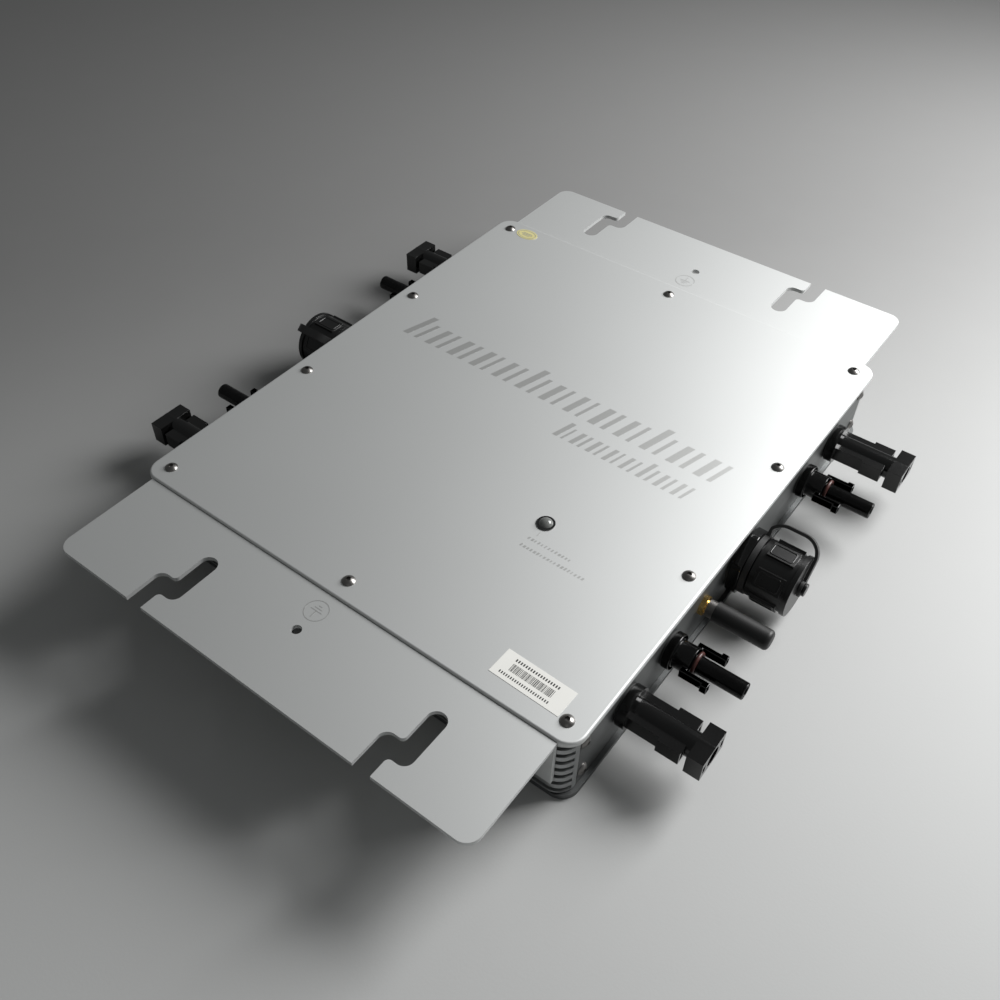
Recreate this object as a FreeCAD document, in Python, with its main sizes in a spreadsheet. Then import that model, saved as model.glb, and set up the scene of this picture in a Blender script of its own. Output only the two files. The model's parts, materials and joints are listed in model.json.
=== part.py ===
import FreeCAD, Part
import math
import os
import re
import Sketcher

# Micro inverter: a flat sealed power converter with two mounting wings.
# Frame: origin at the centre of the resting face, +X towards the antenna side, +Z up.
# Connector pieces are drawn along +X from the outer face of their end plate, then placed.

Vector = FreeCAD.Vector
Rotation = FreeCAD.Rotation

DIMS = [
    # overall case
    ("body_width", 230.0, "cover size across the connector sides"),
    ("body_length", 270.0, "cover size along the connector sides"),
    ("body_height", 40.0, "bottom face to top face"),
    ("corner_radius", 8.0, "vertical corners of covers and rails"),
    ("cover_thickness", 2.5, "both covers"),
    ("cover_edge_round", 1.0, "rounded upper edge of the top cover"),
    ("gasket_thickness", 0.5, "compressed cover gaskets"),
    ("gasket_width", 2.6, "band of the cover gaskets"),
    ("gasket_setback", 0.8, "rail's inner face to the gasket"),
    # finned side rails
    ("rail_overhang", 0.2, "fin tips past the cover edge"),
    ("rail_seat", 6.0, "width of the rail's end that the plate covers"),
    ("fin_depth", 6.0, "depth of the fin grooves"),
    ("fin_pitch", 4.9, "groove to groove"),
    ("groove_width", 2.4, "gap between fins"),
    ("groove_count", 7, "grooves in a rail"),
    # end plates that carry the connectors
    ("plate_thickness", 3.0, "end plate"),
    ("plate_inset", 2.0, "cover edge to plate face"),
    ("plate_corner_margin", 0.5, "plate end short of the rounded corner"),
    ("plate_clearance", 0.2, "plate end to rail step"),
    ("lug_width", 8.0, "screw lug on the plate's inner face"),
    ("lug_depth", 6.0, "screw lug reach"),
    ("lug_height", 8.0, "screw lug height"),
    # mounting wings
    ("wing_length", 216.0, "along the rail"),
    ("wing_reach", 49.8, "rail face to wing edge"),
    ("wing_thickness", 2.0, "angle sheet"),
    ("wing_drop", 1.0, "wing top below cover top"),
    ("wing_leg_height", 26.0, "vertical leg with the flange"),
    ("wing_corner_radius", 6.3, "outer wing corners"),
    ("slot_width", 8.5, "S slot"),
    ("slot_jog", 8.5, "sideways step of the S slot"),
    ("slot_spacing", 120.0, "slot mouth to slot mouth"),
    ("slot_end_margin", 35.0, "wing edge to the slot's closed end"),
    ("slot_jog_margin", 13.5, "wing edge to the middle of the step"),
    ("slot_lip_radius", 2.0, "rounded inner corners of the step"),
    ("ground_hole_radius", 2.2, "earthing hole"),
    ("ground_hole_margin", 29.5, "wing edge to earthing hole"),
    # joining
    ("join_overlap", 0.1, "overlap where two solids of one piece are joined"),
    # screws
    ("screw_radius", 1.5, "M3 shank"),
    ("tapped_clearance", 0.05, "radial gap round a shank in its tapped hole"),
    ("screw_hole_radius", 1.7, "clearance hole"),
    ("head_radius", 2.85, "button head"),
    ("head_height", 1.65, "button head"),
    ("head_edge", 0.3, "straight edge under the dome of a button head"),
    ("socket_flats", 2.0, "hexagon socket"),
    ("socket_depth", 1.0, "hexagon socket"),
    ("countersunk_radius", 3.0, "countersunk head"),
    ("countersunk_height", 1.4, "countersunk head"),
    ("cover_screw_length", 6.0, "under the head"),
    ("plate_screw_length", 8.0, "under the head"),
    ("wing_screw_length", 10.0, "under the head"),
    ("board_screw_length", 5.0, "under the head"),
    ("clamp_screw_length", 11.0, "under the head"),
    ("tapped_depth", 4.0, "cover screw holes"),
    ("screw_end_gap", 1.0, "tapped hole past the screw tip"),
    ("corner_screw_inset", 9.0, "cover edge to a corner screw, both ways"),
    ("side_screw_y", 40.0, "cover screw over an end plate lug"),
    ("plate_screw_low", 10.5, "end plate screw height"),
    ("plate_screw_high", 30.0, "end plate screw height"),
    ("wing_screw_x", 30.0, "wing screws at this and three times this"),
    ("wing_screw_height", 22.45, "on the middle fin"),
    ("clamp_screw_x", 60.0, "clamp screws at the middle and each side"),
    ("clamp_height", 22.0, "clamp bar above the resting face"),
    # connectors
    ("connector_height", 20.0, "connector axes above the resting face"),
    ("seal_thickness", 1.0, "panel seals"),
    ("fit_gap", 0.05, "radial gap of a running fit"),
    ("male_inset", 26.0, "rail's inner face to the outer connector"),
    ("connector_pitch", 33.0, "outer connector to inner connector"),
    ("dc_shank_radius", 6.0, "threaded shank"),
    ("dc_shank_length", 12.0, "behind the plate face"),
    ("dc_nut_flats", 17.0, "lock nut"),
    ("dc_nut_thickness", 5.0, "lock nut"),
    ("male_flange_radius", 9.3, "flange on the plate"),
    ("male_flange_end", 5.0, "flange front"),
    ("male_tube_radius", 5.5, "shell round the pin"),
    ("male_bore_radius", 4.2, "bore for the mating nose"),
    ("male_bore_floor", 12.0, "bore bottom"),
    ("male_length", 38.5, "plate face to tip"),
    ("male_body_half", 7.4, "half width behind the windows"),
    ("male_cage_half", 9.0, "half width at the tip"),
    ("male_cage_half_height", 5.4, "tip collar"),
    ("male_rail_half_height", 3.6, "side rails"),
    ("male_rail_start", 21.0, "where the side rails widen"),
    ("male_window_start", 29.0, "latch window"),
    ("male_window_end", 31.5, "latch window"),
    ("finger_slot_inner", 5.9, "slot for a latch finger"),
    ("finger_slot_outer", 7.9, "slot for a latch finger"),
    ("finger_slot_half_height", 2.2, "slot for a latch finger"),
    ("finger_slot_start", 24.0, "slot bottom"),
    ("contact_radius", 1.5, "pin and tail"),
    ("contact_tail", 16.0, "behind the plate face"),
    ("pin_length", 34.0, "pin tip from the plate face"),
    ("female_flange_radius", 8.2, "flange on the plate"),
    ("female_flange_end", 4.5, "flange front"),
    ("female_barrel_radius", 6.2, "barrel behind the latch fingers"),
    ("female_barrel_end", 12.0, "barrel front"),
    ("female_nose_radius", 3.8, "nose"),
    ("female_length", 35.0, "plate face to tip"),
    ("nose_ring_wire", 0.8, "nose seal ring"),
    ("nose_ring_place", 13.4, "nose seal ring from the plate face"),
    ("finger_start", 9.5, "root of the latch fingers"),
    ("finger_end", 22.5, "latch finger tip"),
    ("finger_inner", 6.6, "latch finger inner face"),
    ("finger_outer", 8.6, "latch finger outer face"),
    ("finger_hook", 1.1, "hook step"),
    ("finger_hook_length", 3.0, "hook"),
    ("finger_half_height", 2.1, "latch finger"),
    ("socket_radius", 2.4, "socket contact"),
    ("socket_recess", 1.5, "socket contact behind the nose tip"),
    # mains connector with its screw cap
    ("ac_shank_radius", 11.0, "threaded shank"),
    ("ac_shank_length", 11.0, "behind the plate face"),
    ("ac_nut_flats", 27.0, "lock nut"),
    ("ac_nut_thickness", 5.5, "lock nut"),
    ("ac_flange_flats", 28.0, "hexagon flange"),
    ("ac_flange_radius", 15.4, "rounded corners of the hexagon"),
    ("ac_flange_end", 6.0, "flange front"),
    ("ac_shell_radius", 12.0, "shell under the cap"),
    ("ac_bore_radius", 10.0, "mouth for the mating plug"),
    ("ac_length", 25.5, "plate face to mouth"),
    ("ac_insert_front", 12.0, "contact insert front"),
    ("ac_pin_radius", 1.25, "contact pins"),
    ("ac_pin_circle", 4.5, "radius of the pin circle"),
    ("ac_pin_front", 19.5, "pin tips"),
    ("cap_start", 9.5, "cap edge nearest the plate"),
    ("cap_end", 28.5, "cap end face"),
    ("cap_wall", 1.55, "cap side wall"),
    ("cap_wall_end", 2.0, "cap end wall"),
    ("cap_rim_rise", 0.7, "cap rim past the side wall"),
    ("cap_rim_width", 2.2, "cap rim"),
    ("grip_count", 6, "raised grip panels"),
    ("grip_width", 8.5, "grip panel"),
    ("grip_rise", 0.5, "grip panel past the side wall"),
    ("grip_root", 0.5, "shell to the foot of a grip panel"),
    ("rivet_tail", 0.6, "rivet flange inside the cap wall"),
    ("grip_start", 12.0, "grip panel"),
    ("grip_end", 24.5, "grip panel"),
    ("rivet_radius", 1.4, "cap rivet"),
    ("rivet_head_radius", 3.0, "cap rivet"),
    ("rivet_head_height", 1.2, "cap rivet"),
    ("tether_width", 4.0, "rubber strap"),
    ("tether_thickness", 1.4, "rubber strap"),
    ("tether_radius", 8.0, "strap bends, middle line"),
    ("tether_tuck", 1.3, "strap bend centres inside the cap rim"),
    ("tether_back", 14.0, "centre of the strap's rear bend from the plate face"),
    ("tether_sweep", 55.0, "rear bend in degrees"),
    ("tether_tilt", 50.0, "strap direction round the axis"),
    ("tether_root", 0.5, "depth to which the strap joins its ring"),
    ("tether_ring_wall", 1.95, "strap ring on the shell"),
    ("tether_ring_start", 6.3, "strap ring"),
    ("tether_ring_end", 8.8, "strap ring"),
    ("eyelet_radius", 4.0, "strap eyelet on the rivet"),
    ("eyelet_gap", 0.3, "cap end to eyelet, and to the rivet's heads"),
    # antenna
    ("dc_seal_setback", 0.8, "flange edge to panel seal, outer connector"),
    ("small_seal_setback", 0.5, "flange edge to panel seal, inner connector"),
    ("ac_seal_setback", 0.3, "flange flat to panel seal, AC socket"),
    ("collar_gap", 0.5, "jack front to the collar's inner end"),
    ("antenna_shift", 0.85, "antenna axis off the middle of its gap, towards the socket"),
    ("jack_radius", 3.1, "threaded jack"),
    ("jack_length", 6.0, "in front of the plate face"),
    ("jack_tail", 8.0, "behind the plate face"),
    ("jack_flats", 8.0, "jack hexagon and nut"),
    ("jack_nut_thickness", 2.2, "gilt nut"),
    ("antenna_collar_start", 3.0, "screw collar"),
    ("antenna_collar_end", 9.0, "screw collar"),
    ("antenna_collar_radius", 3.9, "screw collar"),
    ("antenna_start", 6.4, "rubber sleeve"),
    ("antenna_length", 32.0, "plate face to antenna tip"),
    ("antenna_radius", 4.6, "rubber sleeve"),
    ("antenna_tip_round", 1.8, "rubber sleeve"),
    # indicator light
    ("light_x", 44.5, "indicator light"),
    ("light_y", -52.0, "indicator light"),
    ("bezel_radius", 4.1, "bezel flange"),
    ("bezel_flange", 0.5, "bezel flange"),
    ("bezel_sleeve_radius", 3.5, "bezel sleeve"),
    ("lens_radius", 3.1, "lens"),
    ("lens_rise", 2.4, "lens above the cover"),
    ("lens_depth", 3.5, "lens tail under the cover"),
    ("led_radius", 2.5, "light under the lens"),
    # labels
    ("label_thickness", 0.12, "labels"),
    ("label_width", 32.0, "number label"),
    ("label_height", 12.6, "number label"),
    ("label_inset_x", 28.5, "cover edge to label centre"),
    ("label_inset_y", 15.0, "cover edge to label centre"),
    ("label_turn", -1.5, "number label in degrees"),
    ("sticker_inset_x", 20.2, "cover edge to sticker centre"),
    ("sticker_inset_y", 8.1, "cover edge to sticker centre"),
    ("sticker_major", 6.5, "oval sticker half length"),
    ("sticker_minor", 4.5, "oval sticker half width"),
    # circuit board and what stands on it
    ("board_end_gap", 13.0, "end plate to board"),
    ("board_side_gap", 3.5, "rail to board"),
    ("board_bottom", 9.0, "board above the resting face"),
    ("board_thickness", 1.6, "board"),
    ("standoff_radius", 3.0, "board posts"),
    ("post_inset_x", 7.0, "board end to post centres"),
    ("post_inset_y", 8.0, "board side to post centres"),
    ("core_width", 36.0, "transformer core"),
    ("core_depth", 14.0, "transformer core"),
    ("core_height", 24.0, "transformer core"),
    ("core_leg", 5.0, "transformer core outer legs"),
    ("core_centre_leg", 10.0, "transformer core centre leg"),
    ("winding_depth", 26.0, "transformer winding"),
    ("winding_gap", 0.4, "winding to core"),
    ("transformer_x", 36.0, "transformers"),
    ("transformer_y", 72.0, "transformers"),
    ("input_can_radius", 9.0, "electrolytic cans"),
    ("input_can_height", 22.0, "electrolytic cans"),
    ("input_can_x", 70.0, "electrolytic cans"),
    ("input_can_gap", 2.5, "radio board to the inner cans"),
    ("input_can_inset", 31.0, "board edge to the centres of the outer cans"),
    ("film_width", 26.0, "film capacitors"),
    ("film_depth", 10.0, "film capacitors"),
    ("film_height", 18.0, "film capacitors"),
    ("film_y", 28.0, "film capacitors"),
    ("choke_radius", 10.0, "choke ring, middle line"),
    ("choke_wire", 4.5, "choke ring"),
    ("choke_x", 40.0, "chokes"),
    ("transistor_width", 10.0, "power transistors"),
    ("transistor_depth", 4.5, "power transistors"),
    ("transistor_height", 15.0, "power transistors"),
    ("transistor_base", 14.0, "body above the resting face"),
    ("transistor_pitch", 2.54, "leg to leg"),
    ("transistor_leg", 0.6, "leg thickness"),
    ("pad_thickness", 0.5, "thermal pads"),
    ("clamp_length", 176.0, "clamp bars"),
    ("clamp_thickness", 2.0, "clamp bars"),
    ("clamp_half_height", 3.0, "clamp bars"),
    ("radio_width", 24.0, "radio board"),
    ("radio_header", 2.5, "pin strip under the radio board"),
    ("led_gap", 0.3, "lens to lamp"),
    ("led_height", 6.0, "lamp body"),
    ("led_pitch", 2.54, "lamp leg to leg"),
    ("led_leg", 0.6, "lamp leg"),
    ("radio_depth", 14.0, "radio board"),
    ("radio_x", 72.0, "radio board centre"),
    ("radio_lift", 5.0, "header under the radio board"),
    ("lead_radius", 1.8, "insulated leads"),
    ("lead_bend", 4.0, "lead bend radius"),
    ("lead_drop_x", 14.0, "lead run from the contact tail"),
    ("coax_radius", 0.9, "antenna lead"),
    ("coax_bend", 1.5, "antenna lead bend radius"),
]

ALIASES = {name for name, size, note in DIMS}

# Places that several pieces share, written once.
PLATE_FACE = "(body_width / 2 - plate_inset)"
PLATE_BACK = "(body_width / 2 - plate_inset - plate_thickness)"
PLATE_END = "(body_length / 2 - corner_radius - plate_corner_margin)"
FRAME_BOTTOM = "(cover_thickness + gasket_thickness)"
FRAME_TOP = "(body_height - cover_thickness - gasket_thickness)"
COVER_UNDER = "(body_height - cover_thickness)"
RAIL_FACE = "(body_length / 2 + rail_overhang)"
RAIL_INNER = "(body_length / 2 - corner_radius - plate_corner_margin - rail_seat)"
WING_EDGE = "(body_length / 2 + rail_overhang + wing_reach)"
WING_TOP = "(body_height - wing_drop)"
MALE_Y = f"({RAIL_INNER} - male_inset)"
FEMALE_Y = f"({RAIL_INNER} - male_inset - connector_pitch)"
ANTENNA_Y = f"(antenna_shift - (ac_flange_radius + {FEMALE_Y} - female_flange_radius) / 2)"
INPUT_CAN_NEAR = f"(input_can_radius + input_can_gap + radio_depth / 2 - {ANTENNA_Y})"
BOARD_TOP = "(board_bottom + board_thickness)"
BOARD_X = "(body_width / 2 - plate_inset - plate_thickness - board_end_gap)"
BOARD_Y = "(body_length / 2 - corner_radius - plate_corner_margin - rail_seat - board_side_gap)"
CAP_RADIUS = "(ac_shell_radius + fit_gap + cap_wall)"
SCREW_X = "(body_width / 2 - corner_screw_inset)"
SCREW_Y = "(body_length / 2 - corner_screw_inset)"
SIDE_SCREW_X = "(body_width / 2 - plate_inset - plate_thickness - lug_depth / 2)"
PLATE_SCREW_Y = "(body_length / 2 - corner_radius - plate_corner_margin - rail_seat / 2)"
TAPPED = "(screw_radius + tapped_clearance)"
CLAMP_STACK = "(pad_thickness + transistor_depth + clamp_thickness)"

COVER_SCREWS = [(f"{i} * {SCREW_X}", f"{j} * {SCREW_Y}") for i in (-1, 0, 1) for j in (-1, 1)]
LUG_SCREWS = [(f"{i} * {SIDE_SCREW_X}", f"{j} * side_screw_y") for i in (-1, 1) for j in (-1, 1)]
BOARD_POSTS = [(f"{i} * ({BOARD_X} - post_inset_x)", f"{j} * ({BOARD_Y} - post_inset_y)")
               for i in (-1, 0, 1) for j in (-1, 1)]
WING_SCREWS = [f"{k} * wing_screw_x" for k in (-3, -1, 1, 3)]
CLAMP_SCREWS = [f"{k} * clamp_screw_x" for k in (-1, 0, 1)]
PLATE_SCREW_HEIGHTS = ["plate_screw_low", "plate_screw_high"]

doc = FreeCAD.newDocument("micro_inverter")
nodes = {}


def make_sheet():
    sheet = doc.addObject("Spreadsheet::Sheet", "dims")
    for row, (name, size, note) in enumerate(DIMS, start=1):
        sheet.set(f"A{row}", name)
        sheet.set(f"B{row}", str(size))
        sheet.setAlias(f"B{row}", name)
        sheet.set(f"C{row}", note)
    doc.recompute()
    return sheet


dims = make_sheet()


def bound(expression):
    """The expression with each alias read from the sheet."""
    return re.sub(r"[a-z_]+", lambda m: "dims." + m.group() if m.group() in ALIASES else m.group(),
                  expression)


def number(expression):
    """The expression's present value, for a sketch's first guess."""
    return float(dims.evalExpression(bound(expression)))


def bind(thing, **expressions):
    for name, expression in expressions.items():
        thing.setExpression(name.replace("__", "."), bound(str(expression)))
    return thing


def keep(thing, label):
    """Names a finished sub-part; its label is its node and its file."""
    thing.Label = label
    nodes[label] = thing
    return thing


def move(thing, x="0", y="0", z="0", rotation=None):
    if rotation is not None:
        thing.Placement.Rotation = rotation
    return bind(thing, Placement__Base__x=x, Placement__Base__y=y, Placement__Base__z=z)


# ---- Part primitives and booleans ----

AXES = {"x": Rotation(Vector(0, 1, 0), 90), "y": Rotation(Vector(1, 0, 0), -90), "z": Rotation()}


def along(thing, axis, start, across=("0", "0")):
    """Stands a primitive on its axis at start, with its two other coordinates."""
    a, b = across
    spots = {"x": (start, a, b), "y": (a, start, b), "z": (a, b, start)}
    return move(thing, *spots[axis], AXES[axis])


def block(x0, x1, y0, y1, z0, z1):
    box = bind(doc.addObject("Part::Box", "block"), Length=f"({x1}) - ({x0})", Width=f"({y1}) - ({y0})",
               Height=f"({z1}) - ({z0})")
    return move(box, x0, y0, z0)


def rod(radius, start, end, axis="x", across=("0", "0")):
    cylinder = bind(doc.addObject("Part::Cylinder", "rod"), Radius=radius, Height=f"({end}) - ({start})")
    return along(cylinder, axis, start, across)


def cone(radius, end_radius, start, end, axis="x", across=("0", "0")):
    shape = bind(doc.addObject("Part::Cone", "cone"), Radius1=radius, Radius2=end_radius,
                 Height=f"({end}) - ({start})")
    return along(shape, axis, start, across)


def hexagon(flats, start, end, axis="x", across=("0", "0")):
    prism = doc.addObject("Part::Prism", "hexagon")
    prism.Polygon = 6
    bind(prism, Circumradius=f"({flats}) / 2 / cos(30)", Height=f"({end}) - ({start})")
    return along(prism, axis, start, across)


def torus(ring, wire, start, axis="x", across=("0", "0")):
    shape = bind(doc.addObject("Part::Torus", "torus"), Radius1=ring, Radius2=wire)
    return along(shape, axis, start, across)


def fuse(*pieces):
    union = doc.addObject("Part::MultiFuse", "fuse")
    union.Shapes = list(pieces)
    union.Refine = True
    return union


def cut(base, *tools):
    result = doc.addObject("Part::Cut", "cut")
    result.Base = base
    result.Tool = tools[0] if len(tools) == 1 else fuse(*tools)
    result.Refine = True
    return result


def common(base, tool):
    result = doc.addObject("Part::Common", "common")
    result.Base = base
    result.Tool = tool
    return result


def tube(outer, inner, start, end, axis="x", across=("0", "0")):
    return cut(rod(outer, start, end, axis, across), rod(inner, f"{start} - 1", f"{end} + 1", axis, across))


def group(pieces):
    """Separate solids that share one node."""
    bundle = doc.addObject("Part::Compound", "group")
    bundle.Links = list(pieces)
    return bundle


def copy(master, x="0", y="0", z="0", rotation=None):
    link = doc.addObject("App::Link", "copy")
    link.LinkedObject = master
    link.LinkTransform = True
    return move(link, x, y, z, rotation)


def turned(side, tilt=0.0):
    """Faces a connector piece to the +X side (1) or the -X side (-1)."""
    return Rotation(Vector(0, 0, 1), 0 if side > 0 else 180) * Rotation(Vector(1, 0, 0), tilt)


def on_plate(piece, side, y="0", tilt=0.0):
    """Places a piece drawn along +X on the outer face of an end plate."""
    return move(piece, f"{side} * {PLATE_FACE}", y, "connector_height", turned(side, tilt))


# ---- PartDesign helpers ----

def origin_plane(body, role):
    return next(item for item in body.Origin.OriginFeatures if item.Role == role)


def new_sketch(body, role, offset="0"):
    sketch = body.newObject("Sketcher::SketchObject", "sketch")
    sketch.AttachmentSupport = [(origin_plane(body, role), "")]
    sketch.MapMode = "FlatFace"
    return bind(sketch, AttachmentOffset__Base__z=offset)


def pin_point(sketch, index, corner, x, y):
    """Ties one point of a sketch to the origin by two driven distances."""
    for kind, expression in (("DistanceX", x), ("DistanceY", y)):
        item = sketch.addConstraint(Sketcher.Constraint(kind, -1, 1, index, corner, number(expression)))
        sketch.setExpression(f"Constraints[{item}]", bound(expression))


def arc_between(start, end, radius, turn):
    """The arc from start to end, turning left (1) or right (-1), not past half a circle."""
    middle = (start + end) / 2
    chord = end - start
    rise = math.sqrt(max(radius ** 2 - (chord.Length / 2) ** 2, 0.0))
    normal = Vector(-chord.y, chord.x, 0).normalize()
    centre = middle + normal * rise * turn
    top = centre - normal * radius * turn
    return Part.Arc(start, top, end)


def start_corner(point):
    """A sketch keeps every arc anticlockwise, so an arc that turns right starts at its corner 2."""
    return 2 if len(point) > 2 and point[3] < 0 else 1


def outline(body, role, points, offset="0"):
    """A closed profile. Each point is (x, y), or (x, y, radius, turn) where an arc leaves it."""
    sketch = new_sketch(body, role, offset)
    spots = [Vector(number(point[0]), number(point[1]), 0) for point in points]
    for index, point in enumerate(points):
        start = spots[index]
        end = spots[(index + 1) % len(points)]
        if len(point) == 2:
            sketch.addGeometry(Part.LineSegment(start, end))
        else:
            sketch.addGeometry(arc_between(start, end, number(point[2]), point[3]))
    for index, point in enumerate(points):
        following = (index + 1) % len(points)
        pin_point(sketch, index, start_corner(point), point[0], point[1])
        ends = (index, 3 - start_corner(point), following, start_corner(points[following]))
        sketch.addConstraint(Sketcher.Constraint("Coincident", *ends))
        if len(point) > 2:
            item = sketch.addConstraint(Sketcher.Constraint("Radius", index, number(point[2])))
            sketch.setExpression(f"Constraints[{item}]", bound(point[2]))
    return sketch


def rectangle(body, role, x0, x1, y0, y1, offset="0"):
    return outline(body, role, [(x0, y0), (x1, y0), (x1, y1), (x0, y1)], offset)


def circles(body, role, spots, radius, offset="0"):
    """Hole centres in one sketch; spots are (x, y), and share a radius."""
    sketch = new_sketch(body, role, offset)
    for index, (x, y) in enumerate(spots):
        centre = Vector(number(x), number(y), 0)
        sketch.addGeometry(Part.Circle(centre, Vector(0, 0, 1), number(radius)))
        pin_point(sketch, index, 3, x, y)
        item = sketch.addConstraint(Sketcher.Constraint("Radius", index, number(radius)))
        sketch.setExpression(f"Constraints[{item}]", bound(radius))
    return sketch


def pad(body, sketch, length, middle=False, back=False):
    feature = body.newObject("PartDesign::Pad", "pad")
    feature.Profile = sketch
    feature.Midplane = middle
    feature.Reversed = back
    bind(feature, Length=length)
    doc.recompute()
    return feature


def pocket(body, sketch, length, middle=False, back=False):
    """Cuts away, and stops if nothing was cut."""
    before = body.Shape.Volume
    feature = body.newObject("PartDesign::Pocket", "pocket")
    feature.Profile = sketch
    feature.Midplane = middle
    feature.Reversed = back
    bind(feature, Length=length)
    doc.recompute()
    if body.Shape.Volume >= before - 1e-6:
        raise RuntimeError(f"{body.Name}: a pocket cut nothing")
    return feature


def repeat(body, feature, axis, length, count):
    pattern = body.newObject("PartDesign::LinearPattern", "pattern")
    pattern.Originals = [feature]
    pattern.Direction = (origin_plane(body, axis), [""])
    bind(pattern, Length=length, Occurrences=count)
    body.Tip = pattern
    doc.recompute()
    return pattern


def upright_edges(shape, spots):
    """Names of the vertical edges that stand at the given (x, y) places."""
    wanted = [Vector(number(x), number(y), 0) for x, y in spots]
    names = []
    for index, edge in enumerate(shape.Edges, start=1):
        first, last = edge.firstVertex().Point, edge.lastVertex().Point
        foot = Vector(first.x, first.y, 0)
        if (foot - Vector(last.x, last.y, 0)).Length > 1e-6 or abs(first.z - last.z) < 1e-6:
            continue
        if any((foot - spot).Length < 1e-4 for spot in wanted):
            names.append(f"Edge{index}")
    return names


def level_edges(shape, height, round_only=False):
    """Names of the edges that lie level at a height."""
    names = []
    for index, edge in enumerate(shape.Edges, start=1):
        box = edge.BoundBox
        level = abs(box.ZMin - height) < 1e-6 and abs(box.ZMax - height) < 1e-6
        if level and (not round_only or edge.Closed):
            names.append(f"Edge{index}")
    return names


def soften(body, kind, names, **sizes):
    """A PartDesign Fillet or Chamfer on the named edges of the body's last feature."""
    base = body.Tip
    feature = body.newObject(f"PartDesign::{kind}", kind.lower())
    feature.Base = (base, names)
    bind(feature, **sizes)
    doc.recompute()
    return feature


def new_body(name):
    return doc.addObject("PartDesign::Body", name)


# ---- case ----

def cover_blank(name, bottom):
    """A cover plate with rounded corners and its ten screw holes."""
    body = new_body(name)
    half_x, half_y = "body_width / 2", "body_length / 2"
    pad(body, rectangle(body, "XY_Plane", f"-{half_x}", half_x, f"-{half_y}", half_y, bottom),
        "cover_thickness")
    corners = [(f"{i} * {half_x}", f"{j} * {half_y}") for i in (-1, 1) for j in (-1, 1)]
    soften(body, "Fillet", upright_edges(body.Shape, corners), Radius="corner_radius")
    holes = circles(body, "XY_Plane", COVER_SCREWS + LUG_SCREWS, "screw_hole_radius", bottom)
    pocket(body, holes, "cover_thickness", back=True)
    return body


def top_cover():
    body = cover_blank("top_cover", COVER_UNDER)
    light = circles(body, "XY_Plane", [("light_x", "light_y")], "bezel_sleeve_radius + fit_gap", COVER_UNDER)
    pocket(body, light, "cover_thickness", back=True)
    outer = [name for name in level_edges(body.Shape, number("body_height"))
             if not body.Shape.getElement(name).Closed]
    soften(body, "Fillet", outer, Radius="cover_edge_round")
    keep(body, "top_cover")


def bottom_cover():
    body = cover_blank("bottom_cover", "0")
    rims = level_edges(body.Shape, 0.0, round_only=True)
    soften(body, "Chamfer", rims, Size="countersunk_height")
    keep(body, "bottom_cover")


def gasket(label, bottom):
    """A flat ring that follows the middle of the frame wall."""
    half_x = f"({PLATE_FACE} - fit_gap)"
    half_y = f"({RAIL_INNER} + gasket_setback + gasket_width)"
    outer = block(f"-{half_x}", half_x, f"-{half_y}", half_y, bottom, f"{bottom} + gasket_thickness")
    inner = block(f"gasket_width - {half_x}", f"{half_x} - gasket_width", f"gasket_width - {half_y}",
                  f"{half_y} - gasket_width", f"{bottom} - 1", f"{bottom} + 1 + gasket_thickness")
    keep(cut(outer, inner), label)


def finned_rail(label, side):
    """An extruded heat sink wall, stepped at its ends for the end plates."""
    body = new_body(label)
    step = f"({PLATE_END} + plate_clearance)"
    profile = [(f"-{PLATE_BACK}", RAIL_INNER), (PLATE_BACK, RAIL_INNER), (PLATE_BACK, step), (PLATE_FACE,
                                                                                              step),
               (PLATE_FACE, RAIL_FACE), (f"-{PLATE_FACE}", RAIL_FACE), (f"-{PLATE_FACE}", step),
               (f"-{PLATE_BACK}", step)]
    pad(body, outline(body, "XY_Plane", profile, FRAME_BOTTOM), f"{FRAME_TOP} - {FRAME_BOTTOM}")
    corners = [(f"-{PLATE_FACE}", RAIL_FACE), (PLATE_FACE, RAIL_FACE)]
    soften(body, "Fillet", upright_edges(body.Shape, corners), Radius="corner_radius")
    middle = "(body_height / 2)"
    first = f"({middle} - (groove_count - 1) * fin_pitch / 2)"
    groove = rectangle(body, "YZ_Plane", f"{RAIL_FACE} - fin_depth", f"{RAIL_FACE} + 1",
                       f"{first} - groove_width / 2", f"{first} + groove_width / 2")
    cutter = pocket(body, groove, "body_width", middle=True)
    repeat(body, cutter, "Z_Axis", "(groove_count - 1) * fin_pitch", "groove_count")
    spots = [(f"{i} * {SCREW_X}", SCREW_Y) for i in (-1, 0, 1)]
    pocket(body, circles(body, "XY_Plane", spots, TAPPED, FRAME_TOP), "tapped_depth")
    pocket(body, circles(body, "XY_Plane", spots, TAPPED, FRAME_BOTTOM), "tapped_depth", back=True)
    for end in (-1, 1):
        spots = [(PLATE_SCREW_Y, height) for height in PLATE_SCREW_HEIGHTS]
        holes = circles(body, "YZ_Plane", spots, TAPPED, f"{end} * {PLATE_BACK}")
        pocket(body, holes, "plate_screw_length - plate_thickness + screw_end_gap", back=end < 0)
    wing_holes = circles(body, "XZ_Plane", [(x, "wing_screw_height") for x in WING_SCREWS], TAPPED,
                         f"-{RAIL_FACE}")
    pocket(body, wing_holes, "wing_screw_length - wing_thickness + screw_end_gap", back=True)
    clamp_holes = circles(body, "XZ_Plane", [(x, "clamp_height") for x in CLAMP_SCREWS], TAPPED,
                          f"-{RAIL_INNER}")
    pocket(body, clamp_holes, f"clamp_screw_length - {CLAMP_STACK} + screw_end_gap")
    body.Placement.Rotation = Rotation(Vector(0, 0, 1), 0 if side > 0 else 180)
    keep(body, label)


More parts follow.
